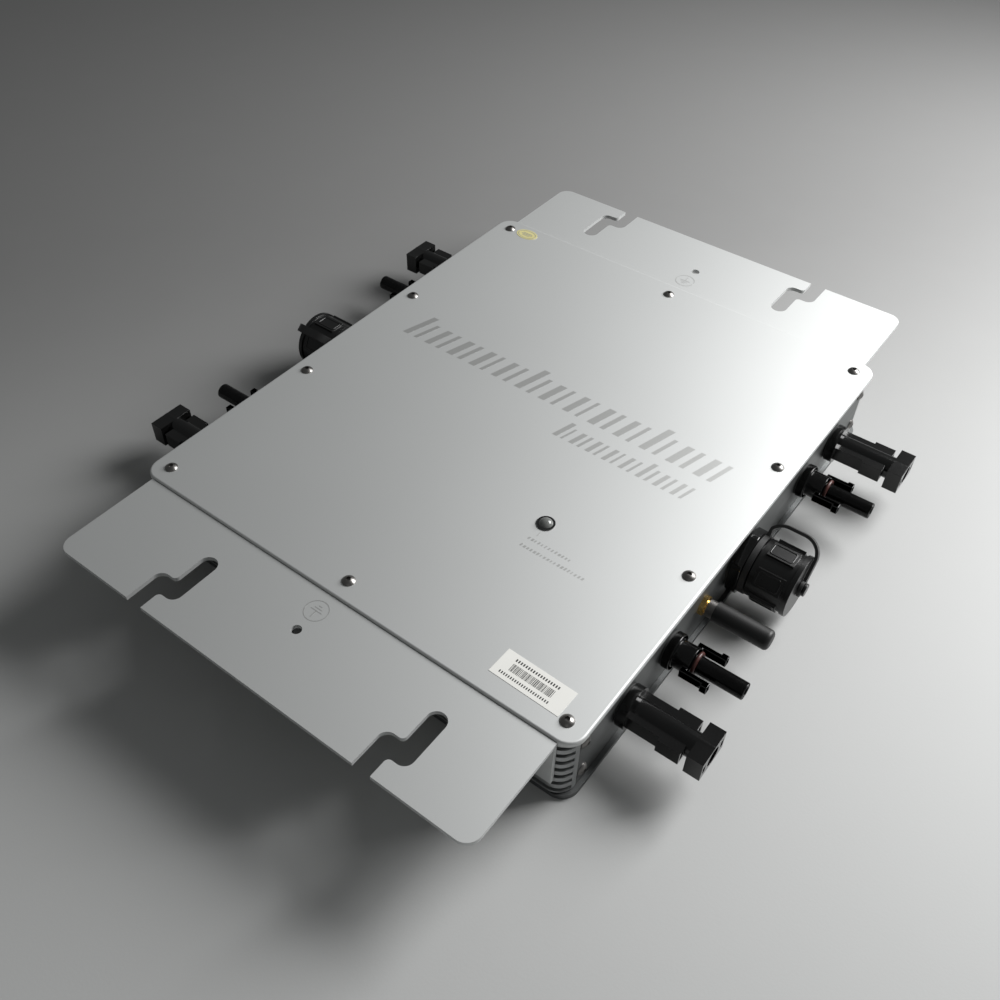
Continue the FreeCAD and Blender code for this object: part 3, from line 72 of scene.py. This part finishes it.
# Shader maths: a socket that takes part in Python sums
class Flow:
    def __init__(self, paint, socket):
        self.paint, self.socket = paint, socket

    def maths(self, operation, *values):
        return self.paint.node("ShaderNodeMath", {"operation": operation}, dict(enumerate(values)))

    def __add__(self, other):
        return self.maths("ADD", self, other)

    def __sub__(self, other):
        return self.maths("SUBTRACT", self, other)

    def __rsub__(self, other):
        return self.maths("SUBTRACT", other, self)

    def __mul__(self, other):
        return self.maths("MULTIPLY", self, other)

    __radd__, __rmul__ = __add__, __mul__

    def clamp(self):  # kept between 0 and 1
        return self.paint.node("ShaderNodeClamp", {}, {"Value": self})


class Paint:  # one procedural finish around a Principled shader
    def __init__(self, name, **fixed):
        self.material = bpy.data.materials.get(name) or bpy.data.materials.new(name)
        self.material.use_nodes = True
        self.tree = self.material.node_tree
        self.tree.nodes.clear()
        self.shader = self.tree.nodes.new("ShaderNodeBsdfPrincipled")
        output = self.tree.nodes.new("ShaderNodeOutputMaterial")
        self.tree.links.new(self.shader.outputs[0], output.inputs["Surface"])
        self.place = self.node("ShaderNodeTexCoord", {}, {}, "Object")
        self.put(**{key.replace("_", " "): value for key, value in fixed.items()})

    def node(self, kind, settings, inputs, output=0):  # any node: its settings first, then its sockets
        made = self.tree.nodes.new(kind)
        for key, value in settings.items():
            setattr(made, key, value)
        for key, value in inputs.items():
            self.feed(made.inputs[key], value)
        return Flow(self, made.outputs[output])

    def feed(self, socket, value):
        if isinstance(value, Flow):
            self.tree.links.new(value.socket, socket)
        else:
            socket.default_value = value

    def put(self, **values):
        for key, value in values.items():
            self.feed(self.shader.inputs[key], value)

    def noise(self, scale, detail=3, stretch=(1, 1, 1), roughness=0.5):  # cloudy 0..1 pattern, scale per metre
        spot = self.node("ShaderNodeMapping", {}, {"Vector": self.place, "Scale": stretch})
        return self.node("ShaderNodeTexNoise", {},
                         {"Vector": spot, "Scale": scale, "Detail": detail, "Roughness": roughness})

    def blendColours(self, share, first, second):
        return self.node("ShaderNodeMix", {"data_type": "RGBA"}, {0: share, 6: first, 7: second}, 2)

    def bump(self, height, distance, strength=1.0):
        return self.node("ShaderNodeBump", {}, {"Height": height, "Distance": distance, "Strength": strength})

    def speckle(self, first, second, roughness, grain):
        # a colour that wanders between two, a roughness that wanders, and a fine bump
        cloud = self.noise(grain["cloudScale"], 2)
        fine = self.noise(grain["fineScale"], 2, grain.get("stretch", (1, 1, 1)))
        self.put(**{"Base Color": self.blendColours(cloud, grey(first), grey(second)),
                    "Roughness": fine * grain["roughSwing"] + (roughness - grain["roughSwing"] / 2),
                    "Normal": self.bump(fine, grain["depth"], grain.get("strength", 0.6))})
        return self


def grey(value):  # a colour from one number or three
    red, green, blue = value if isinstance(value, (tuple, list)) else (value, value, value)
    return (red, green, blue, 1)


# Finishes, by the name of the slot that the part's record gives
finishes = {
    "satin_aluminium": dict(first=(0.60, 0.61, 0.605), second=(0.64, 0.65, 0.645), roughness=0.6, metal=0.8,
                            cloudScale=9, fineScale=2600, roughSwing=0.06, depth=0.00003, strength=0.35),
    "rail_aluminium": dict(first=(0.32, 0.33, 0.33), second=(0.40, 0.41, 0.41), roughness=0.42, metal=0.8,
                           cloudScale=20, fineScale=900, roughSwing=0.12, depth=0.00004, stretch=(0.04, 1, 1)),
    "plate_aluminium": dict(first=(0.11, 0.115, 0.115), second=(0.16, 0.165, 0.165), roughness=0.45, metal=0.8,
                            cloudScale=16, fineScale=900, roughSwing=0.12, depth=0.00004, stretch=(1, 0.04, 1)),
    "dark_steel": dict(first=(0.16, 0.155, 0.15), second=(0.26, 0.25, 0.24), roughness=0.36, metal=1,
                       cloudScale=300, fineScale=1800, roughSwing=0.14, depth=0.00002),
    "zinc_steel": dict(first=(0.45, 0.45, 0.43), second=(0.6, 0.6, 0.58), roughness=0.35, metal=1,
                       cloudScale=120, fineScale=1500, roughSwing=0.1, depth=0.00002),
    "tinned_copper": dict(first=(0.62, 0.6, 0.56), second=(0.75, 0.74, 0.7), roughness=0.28, metal=1,
                          cloudScale=200, fineScale=1500, roughSwing=0.1, depth=0.00002),
    "gilt_brass": dict(first=(0.66, 0.42, 0.12), second=(0.9, 0.66, 0.28), roughness=0.26, metal=1,
                       cloudScale=350, fineScale=1800, roughSwing=0.12, depth=0.00002),
    "plain_brass": dict(first=(0.6, 0.45, 0.2), second=(0.75, 0.58, 0.3), roughness=0.34, metal=1,
                        cloudScale=200, fineScale=1500, roughSwing=0.1, depth=0.00002),
    "gasket_rubber": dict(first=0.02, second=0.032, roughness=0.75, metal=0,
                          cloudScale=80, fineScale=1200, roughSwing=0.1, depth=0.00004),
    "seal_red": dict(first=(0.040, 0.011, 0.009), second=(0.064, 0.017, 0.013), roughness=0.4, metal=0,
                     cloudScale=200, fineScale=1500, roughSwing=0.1, depth=0.00003),
    "connector_plastic": dict(first=0.003, second=0.006, roughness=0.15, metal=0,
                              cloudScale=90, fineScale=1700, roughSwing=0.08, depth=0.00002, strength=0.06),
    "cap_plastic": dict(first=0.004, second=0.008, roughness=0.3, metal=0,
                        cloudScale=90, fineScale=1500, roughSwing=0.12, depth=0.00003, strength=0.1),
    "tether_rubber": dict(first=0.014, second=0.024, roughness=0.5, metal=0,
                          cloudScale=90, fineScale=1400, roughSwing=0.12, depth=0.00004),
    "antenna_rubber": dict(first=0.004, second=0.007, roughness=0.5, metal=0,
                           cloudScale=90, fineScale=2200, roughSwing=0.16, depth=0.00005),
    "bezel_chrome": dict(first=(0.10, 0.10, 0.10), second=(0.16, 0.16, 0.16), roughness=0.24, metal=1,
                         cloudScale=300, fineScale=1800, roughSwing=0.1, depth=0.00001),
    "lens_plastic": dict(first=(0.12, 0.125, 0.12), second=(0.17, 0.175, 0.17), roughness=0.16, metal=0,
                         cloudScale=250, fineScale=1200, roughSwing=0.06, depth=0.00001),
    "label_paper": dict(first=(0.80, 0.795, 0.755), second=(0.84, 0.835, 0.80), roughness=0.55, metal=0,
                        cloudScale=120, fineScale=2400, roughSwing=0.1, depth=0.00002),
    "sticker_foil": dict(first=(0.62, 0.56, 0.24), second=(0.74, 0.68, 0.34), roughness=0.4, metal=0.25,
                         cloudScale=300, fineScale=2000, roughSwing=0.2, depth=0.00003),
    "board_green": dict(first=(0.015, 0.09, 0.035), second=(0.02, 0.12, 0.05), roughness=0.4, metal=0,
                        cloudScale=90, fineScale=700, roughSwing=0.1, depth=0.00003),
    "ferrite": dict(first=0.03, second=0.05, roughness=0.6, metal=0.2,
                    cloudScale=150, fineScale=1200, roughSwing=0.1, depth=0.00005),
    "winding_tape": dict(first=(0.5, 0.33, 0.05), second=(0.6, 0.42, 0.09), roughness=0.3, metal=0,
                         cloudScale=100, fineScale=900, roughSwing=0.1, depth=0.00003),
    "capacitor_sleeve": dict(first=(0.02, 0.025, 0.05), second=(0.03, 0.035, 0.07), roughness=0.3, metal=0,
                             cloudScale=100, fineScale=900, roughSwing=0.08, depth=0.00002),
    "film_box": dict(first=(0.45, 0.08, 0.03), second=(0.55, 0.12, 0.05), roughness=0.35, metal=0,
                     cloudScale=100, fineScale=1100, roughSwing=0.08, depth=0.00002),
    "pad_silicone": dict(first=(0.35, 0.36, 0.37), second=(0.42, 0.43, 0.44), roughness=0.7, metal=0,
                         cloudScale=100, fineScale=1100, roughSwing=0.08, depth=0.00003),
    "lead_black": dict(first=0.015, second=0.024, roughness=0.45, metal=0,
                       cloudScale=100, fineScale=1100, roughSwing=0.08, depth=0.00003),
}

paints = {}
for slot, look in finishes.items():
    paint = Paint(slot, Metallic=look["metal"])
    paint.speckle(look["first"], look["second"], look["roughness"], look)
    paints[slot] = paint
for name, node in nodes.items():
    for place in node.material_slots:
        place.material = paints[place.material.name.split(".")[0]].material
nodes["bottom_cover"].material_slots[0].material = paints["plate_aluminium"].material  # bottom cover takes the darker plate finish
print("finishes made,", len(paints))


# Meshes from numpy arrays
def newPiece(name, points, faces, slot, body="case", smooth=False):
    # points in millimetres become a mesh at the origin, with one finish, riding on a body
    mesh = bpy.data.meshes.new(name)
    mesh.from_pydata((np.asarray(points, float) * mm).tolist(), [], [list(face) for face in faces])
    mesh.materials.append(paints[slot].material)
    mesh.polygons.foreach_set("use_smooth", np.full(len(mesh.polygons), smooth))
    mesh.validate()
    shape = bmesh.new()
    shape.from_mesh(mesh)
    bmesh.ops.recalc_face_normals(shape, faces=shape.faces)
    shape.to_mesh(mesh)
    shape.free()
    piece = bpy.data.objects.new(name, mesh)
    bpy.context.scene.collection.objects.link(piece)
    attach(piece, body)
    slot in finishes
    return piece


def slabs(outlines, low, high):
    # each row of four corners, anticlockwise from above, becomes a thin closed box from low to high
    corners = np.asarray(outlines, float).reshape(-1, 4, 2)
    count = len(corners)
    heights = np.broadcast_to(np.array([low, high])[None, :, None, None], (count, 2, 4, 1))
    flat = np.broadcast_to(corners[:, None], (count, 2, 4, 2))
    points = np.concatenate([flat, heights], 3).reshape(-1, 3)
    box = np.array([[3, 2, 1, 0], [4, 5, 6, 7], [0, 1, 5, 4], [1, 2, 6, 5], [2, 3, 7, 6], [3, 0, 4, 7]])
    return points, (box[None] + 8 * np.arange(count)[:, None, None]).reshape(-1, 4)


def loop(profile, turns, centre, high):
    # the closed profile (radius, height) turned once about the vertical through centre
    radius, rise = np.asarray(profile, float).T
    angle = np.linspace(0, 2 * math.pi, turns, endpoint=False)[:, None]
    points = np.stack([centre[0] + radius * np.cos(angle), centre[1] + radius * np.sin(angle),
                       high + rise + 0 * angle], 2).reshape(-1, 3)
    count = len(radius)
    here = np.arange(turns * count).reshape(turns, count)
    after, along = np.roll(here, -1, 0), np.roll(here, -1, 1)
    faces = np.stack([here, after, np.roll(after, -1, 1), along], 2).reshape(-1, 4)
    return points, faces


def join(*parts):
    # several (points, faces) pairs as one
    points, faces, start = [], [], 0
    for spots, sides in parts:
        points.append(np.asarray(spots))
        faces += [[start + corner for corner in side] for side in np.asarray(sides).tolist()]
        start += len(spots)
    return np.concatenate(points), faces


def bars(rows, slant=0.0):
    # rows of (x low, x high, y low, y high) as outlines that lean by slant times their height
    left, right, low, high = np.asarray(rows, float).T
    lean = slant * (high - low)
    return np.stack([np.stack([left, low], 1), np.stack([right, low], 1),
                     np.stack([right + lean, high], 1), np.stack([left + lean, high], 1)], 1)


# Moulded parts with their edges rounded: the frame's shape, merged, flattened and bevelled
rounding = {"merge": 2e-6, "flatten": math.radians(0.4), "corner": math.radians(38),
            "smooth": math.radians(80), "steps": 3, "flatFirst": 100}


def softened(node, width):
    # a copy of the part whose edges past the corner angle become small arcs of that width
    copy = bpy.data.objects.new(node + "_moulded", nodes[node].data.copy())
    bpy.context.scene.collection.objects.link(copy)
    shape = bmesh.new()
    shape.from_mesh(copy.data)
    bmesh.ops.remove_doubles(shape, verts=shape.verts, dist=rounding["merge"])
    bmesh.ops.dissolve_limit(shape, angle_limit=rounding["flatten"], verts=shape.verts, edges=shape.edges)
    shape.to_mesh(copy.data)
    shape.free()
    bevel = copy.modifiers.new("rounded_edges", "BEVEL")
    bevel.width, bevel.segments = width * mm, rounding["steps"]
    bevel.limit_method, bevel.angle_limit = "ANGLE", rounding["corner"]
    flat = copy.modifiers.new("even_shading", "WEIGHTED_NORMAL")
    flat.weight, flat.keep_sharp = rounding["flatFirst"], True
    copy.data.polygons.foreach_set("use_smooth", np.full(len(copy.data.polygons), True))
    copy.data.set_sharp_from_angle(angle=rounding["smooth"])
    finished = bpy.data.meshes.new_from_object(copy.evaluated_get(bpy.context.evaluated_depsgraph_get()))
    copy.modifiers.clear()
    copy.data = finished
    if node.endswith("cap_tether"):  # stretches from its ring on the case to the rivet as the cap comes off
        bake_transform(copy)
    else:
        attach(copy, next(name for name, members in bodies.items() if node in members))
    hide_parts(node)


bodies = frame["record"]["behaviour"]["bodies"]
moulded = {"male_connector": 0.3, "female_connector": 0.25, "ac_receptacle": 0.35, "ac_cap": 0.3,
           "cap_rivet": 0.25, "cap_tether": 0.3}
for node in sorted(nodes):
    for ending, width in moulded.items():
        if node.endswith(ending):
            softened(node, width)
print("moulded parts rounded")

# Raised frames on the caps' grip panels
grips = {"panels": 6, "start": 12.9, "end": 23.1, "half": 3.0, "corner": 1.0, "face": 14.1, "sink": 0.08,
         "rise": 0.28, "halfLine": 0.32, "arcSteps": 6, "plate": 113.0}


def roundedRing(length, width, corner, steps=7):
    # a rectangle's outline about the origin with arcs at its corners, as points and outward directions
    arc = np.linspace(0, math.pi / 2, steps)
    angle = (np.arange(4)[:, None] * math.pi / 2 + arc[None]).ravel()
    signs = np.array([[1, 1], [-1, 1], [-1, -1], [1, -1]]).repeat(steps, 0)
    out = np.stack([np.cos(angle), np.sin(angle)], 1)
    return signs * np.array([length / 2 - corner, width / 2 - corner]) + corner * out, out


def gripFrames(side):
    # a low rounded bead along each panel's outline, and the panels spread round the cap's axis
    path, out = roundedRing(grips["end"] - grips["start"], 2 * grips["half"], grips["corner"])
    arc = np.linspace(0, math.pi, grips["arcSteps"])
    across = np.concatenate([grips["halfLine"] * np.cos(arc), [-grips["halfLine"], grips["halfLine"]]])
    lift = np.concatenate([grips["rise"] * np.sin(arc), [-grips["sink"], -grips["sink"]]])
    flat = path[:, None] + across[None, :, None] * out[:, None]
    here = np.arange(len(path) * len(across)).reshape(len(path), len(across))
    after, along = np.roll(here, -1, 0), np.roll(here, -1, 1)
    faces = np.stack([here, after, np.roll(after, -1, 1), along], 2).reshape(-1, 4)
    parts = []
    for index in range(grips["panels"]):
        angle = 2 * math.pi * index / grips["panels"]
        axial = (flat[..., 0] + (grips["start"] + grips["end"]) / 2).ravel()
        wide, high = flat[..., 1].ravel(), (grips["face"] + lift[None] + 0 * flat[..., 0]).ravel()
        y = wide * math.cos(angle) - high * math.sin(angle)
        z = wide * math.sin(angle) + high * math.cos(angle)
        parts.append((np.stack([side * (axial + grips["plate"]), side * y, z + axisHeight], 1), faces))
    return join(*parts)


for side, name in ((1, "right"), (-1, "left")):
    newPiece(name + "_cap_grip_frames", *gripFrames(side), "cap_plastic", name + "_cap", smooth=True)

# Faint generic print on the cover: leaning bars, a leader line and rows of short dashes
coverPrint = {"top": 40.0, "film": 0.02, "slant": 0.28, "bigRow": (-91, 92, 13, 32), "bigPitch": 14.1,
              "smallRow": (14, 84, -4, 8), "smallPitch": 8.9, "legend": [(43, 65, -63.6), (42.5, 73.5, -68.6)],
              "legendPitch": 1.7, "legendSlant": 0.25, "leader": (45.35, 45.65, -60.1, -57.5)}
strokes = {"wide": 0.24, "wideSpread": 0.06, "thin": 0.13, "thinSpread": 0.05, "lowShare": 0.76, "tallEach": 5}
coverTop = coverPrint["top"]


def strokeRow(start, end, low, high, pitch, seed):
    # one leaning bar in each step of the pitch, most with a second, thinner one beside it
    chance = np.random.default_rng(seed)
    first = np.arange(start, end - pitch * 0.6, pitch)
    wide = pitch * (strokes["wide"] + strokes["wideSpread"] * chance.random(len(first)))
    thin = pitch * (strokes["thin"] + strokes["thinSpread"] * chance.random(len(first)))
    base = np.full(len(first), float(low))
    short = base + strokes["lowShare"] * (high - low)
    tall = np.where(np.arange(len(first)) % strokes["tallEach"] == 0, high, short)
    main = np.stack([first, first + wide, base, tall], 1)
    second = np.stack([first + pitch / 2, first + pitch / 2 + thin, base, short], 1)
    return np.concatenate([main, second])


inkLook = dict(first=(0.50, 0.505, 0.495), second=(0.53, 0.535, 0.525), roughness=0.5,
               cloudScale=60, fineScale=1500, roughSwing=0.1, depth=0.00001)
for ink, share, metal in (("print_grey", 1.0, 0.8), ("print_dark", 0.08, 0.0)):
    paints[ink] = Paint(ink, Metallic=metal)
    paints[ink].speckle([share * v for v in inkLook["first"]], [share * v for v in inkLook["second"]],
                        inkLook["roughness"], inkLook)
rowOne = bars(strokeRow(*coverPrint["bigRow"], coverPrint["bigPitch"], 3), coverPrint["slant"])
rowTwo = bars(strokeRow(*coverPrint["smallRow"], coverPrint["smallPitch"], 5), coverPrint["slant"])
dashes = []
for left, right, level in coverPrint["legend"]:
    chance = np.random.default_rng(int(-level))
    starts = np.arange(left, right, coverPrint["legendPitch"])
    dashes.append(np.stack([starts, starts + 0.45 + 0.7 * chance.random(len(starts)),
                            level + 0 * starts, level + 1.2 + 0.5 * chance.random(len(starts))], 1))
legend = bars(np.concatenate(dashes), coverPrint["legendSlant"])
leader = bars([coverPrint["leader"]])
outlines = np.concatenate([rowOne, rowTwo, legend, leader])
newPiece("cover_print", *slabs(outlines, coverTop - printSink, coverTop + coverPrint["film"]), "print_grey")

# Earth sign on each wing: a thin ring, a stem and three bars
earthSign = {"wingTop": 39.0, "x": -0.3, "y": 144.3, "ring": 5.25, "line": 0.35, "film": 0.03, "stem": 3.6,
             "step": 1.25, "halfBars": (2.9, 1.9, 0.9), "turns": 64}
for side, name in ((-1, "near_earth_mark"), (1, "far_earth_mark")):
    half, middle = earthSign["line"] / 2, side * earthSign["y"]
    band = [(earthSign["ring"] - 2 * half, -printSink), (earthSign["ring"], -printSink),
            (earthSign["ring"], earthSign["film"]), (earthSign["ring"] - 2 * half, earthSign["film"])]
    ringPart = loop(band, earthSign["turns"], (earthSign["x"], middle), earthSign["wingTop"])
    signRows = []
    for index, reach in enumerate(earthSign["halfBars"]):
        level = middle - side * index * earthSign["step"]
        signRows.append((earthSign["x"] - reach, earthSign["x"] + reach, level - half, level + half))
    signRows.append((earthSign["x"] - half, earthSign["x"] + half,
                     *sorted((middle + side * half, middle + side * earthSign["stem"]))))
    signPart = slabs(bars(signRows), earthSign["wingTop"] - printSink, earthSign["wingTop"] + earthSign["film"])
    newPiece(name, *join(ringPart, signPart), "print_grey")

# Number label: stripes of many widths between two rows of short dashes
label = {"x": 86.5, "y": -120.0, "top": 40.12, "turn": -1.5, "film": 0.02, "edges": 84, "thin": 0.16,
         "spread": 0.36, "stripeRun": 19.5, "stripeStart": -10.4, "stripeLow": -1.7, "stripeHigh": 1.9}
# each row of dashes as first, last, pitch, dash length, low and high
dashRows = [(-10.6, 9.0, 1.15, 0.6, 3.1, 4.4), (-12.8, 9.4, 1.05, 0.5, -4.5, -3.3)]


def turned(outline, degrees, centre):
    # corners turned about their middle, then moved to centre
    angle = math.radians(degrees)
    spin = np.array([[math.cos(angle), math.sin(angle)], [-math.sin(angle), math.cos(angle)]])
    return outline @ spin + np.array(centre)


chance = np.random.default_rng(11)
edges = np.cumsum(label["thin"] + label["spread"] * chance.random(label["edges"]))
edges = edges / edges[-1] * label["stripeRun"] + label["stripeStart"]
left, right = edges[0::2], edges[1::2]
labelRows = [np.stack([left, right, np.full(len(left), label["stripeLow"]),
                       np.full(len(left), label["stripeHigh"])], 1)]
for start, end, pitch, dash, low, high in dashRows:
    left = np.arange(start, end, pitch)
    labelRows.append(np.stack([left, left + dash, np.full(len(left), low), np.full(len(left), high)], 1))
marks = turned(bars(np.concatenate(labelRows)), label["turn"], (label["x"], label["y"]))
newPiece("label_print", *slabs(marks, label["top"] - printSink, label["top"] + label["film"]), "print_dark")

# Oval sticker: a thin printed line round it and three dashes
sticker = {"x": -94.8, "y": 126.9, "top": 40.12, "film": 0.02, "outer": (5.6, 3.7), "inner": (5.2, 3.3),
           "steps": 57, "dashes": [(-3.0, 3.0, 0.7, 1.2), (-3.6, 3.6, -0.4, 0.1), (-2.4, 2.4, -1.5, -1.0)]}
angle = np.linspace(0, 2 * math.pi, sticker["steps"])
circle = np.stack([np.cos(angle), np.sin(angle)], 1)
outer, inner = circle * sticker["outer"], circle * sticker["inner"]
rim = np.stack([inner[:-1], outer[:-1], outer[1:], inner[1:]], 1)
stickerMarks = np.concatenate([rim, bars(sticker["dashes"])]) + np.array([sticker["x"], sticker["y"]])
newPiece("sticker_print", *slabs(stickerMarks, sticker["top"] - printSink, sticker["top"] + sticker["film"]),
         "print_grey")
print("printed marks made")

# Floor with painted shade and light, lights and camera
studio = {"floorHalf": 30.0, "keyPlace": (0.36, 0.50, 0.46), "keySize": 0.45, "keyPower": 10.7,
          "fillPlace": (0.9, -1.5, 1.2), "fillSize": 0.9, "fillPower": 0.8, "sky": 0.13,
          "paintedShadeEnd": -0.42, "paintedLightEnd": 0.46, "dust": 0.03}
floorPaint = Paint("floor_paint", Roughness=0.75)
across = floorPaint.node("ShaderNodeSeparateXYZ", {}, {"Vector": floorPaint.place}, "X")
away = floorPaint.node("ShaderNodeSeparateXYZ", {}, {"Vector": floorPaint.place}, "Y")
# painted shade and light: the floor's colour runs from dark grey at its far left to pale grey at its near
# right, standing in for the fall-off of the key lamp's pool of light
paintedLightShare = floorPaint.node("ShaderNodeMapRange", {"interpolation_type": "SMOOTHERSTEP"},
                      {"Value": across - away, "From Min": studio["paintedShadeEnd"],
                       "From Max": studio["paintedLightEnd"]})
dust = floorPaint.noise(30, 4) * studio["dust"] - studio["dust"] / 2
floorPaint.put(**{"Base Color": floorPaint.blendColours((paintedLightShare + dust).clamp(), grey((0.20, 0.20, 0.198)),
                                                        grey((0.50, 0.505, 0.50))),
                  "Normal": floorPaint.bump(floorPaint.noise(900, 2), 0.0001, 0.2)})
reach = studio["floorHalf"]
floorMesh = bpy.data.meshes.new("floor")
floorMesh.from_pydata([(-reach, -reach, 0), (reach, -reach, 0), (reach, reach, 0), (-reach, reach, 0)],
                      [], [(0, 1, 2, 3)])
floorMesh.materials.append(floorPaint.material)
floor = bpy.data.objects.new("floor", floorMesh)
bpy.context.scene.collection.objects.link(floor)


def softLamp(name, place, size, power, target=(0, 0, 0)):
    # a square area lamp that faces the target
    lamp = bpy.data.lights.new(name, "AREA")
    lamp.size, lamp.energy = size, power
    holder = bpy.data.objects.new(name, lamp)
    holder.location = place
    holder.rotation_euler = (Vector(target) - Vector(place)).to_track_quat("-Z", "Y").to_euler()
    bpy.context.scene.collection.objects.link(holder)


softLamp("key_lamp", studio["keyPlace"], studio["keySize"], studio["keyPower"])
softLamp("fill_lamp", studio["fillPlace"], studio["fillSize"], studio["fillPower"])
world = bpy.data.worlds.new("studio_air")
bpy.context.scene.world = world
world.use_nodes = True
background = world.node_tree.nodes["Background"]
background.inputs["Color"].default_value = grey((0.97, 1.0, 1.0))
background.inputs["Strength"].default_value = studio["sky"]

camera = {"turn": (2.26581331, 0.76519164, -0.28751239), "shift": (14.437924, -11.281097, 511.916344),
          "sensor": 36.0, "lensShare": 1.02976729, "near": 0.01, "far": 50}
turn = Vector(camera["turn"])
intoView = Matrix.Rotation(turn.length, 3, turn.normalized())  # object frame to right, down, forward
eye = -(intoView.transposed() @ Vector(camera["shift"])) * mm
facing = intoView.transposed() @ Matrix.Diagonal((1, -1, -1))
lens = bpy.data.cameras.new("camera")
lens.sensor_width, lens.lens = camera["sensor"], camera["sensor"] * camera["lensShare"]
lens.clip_start, lens.clip_end = camera["near"], camera["far"]
view = bpy.data.objects.new("camera", lens)
view.matrix_world = Matrix.Translation(eye) @ facing.to_4x4()
bpy.context.scene.collection.objects.link(view)
bpy.context.scene.camera = view
bpy.context.scene.view_settings.view_transform = "Standard"
print("stage set")
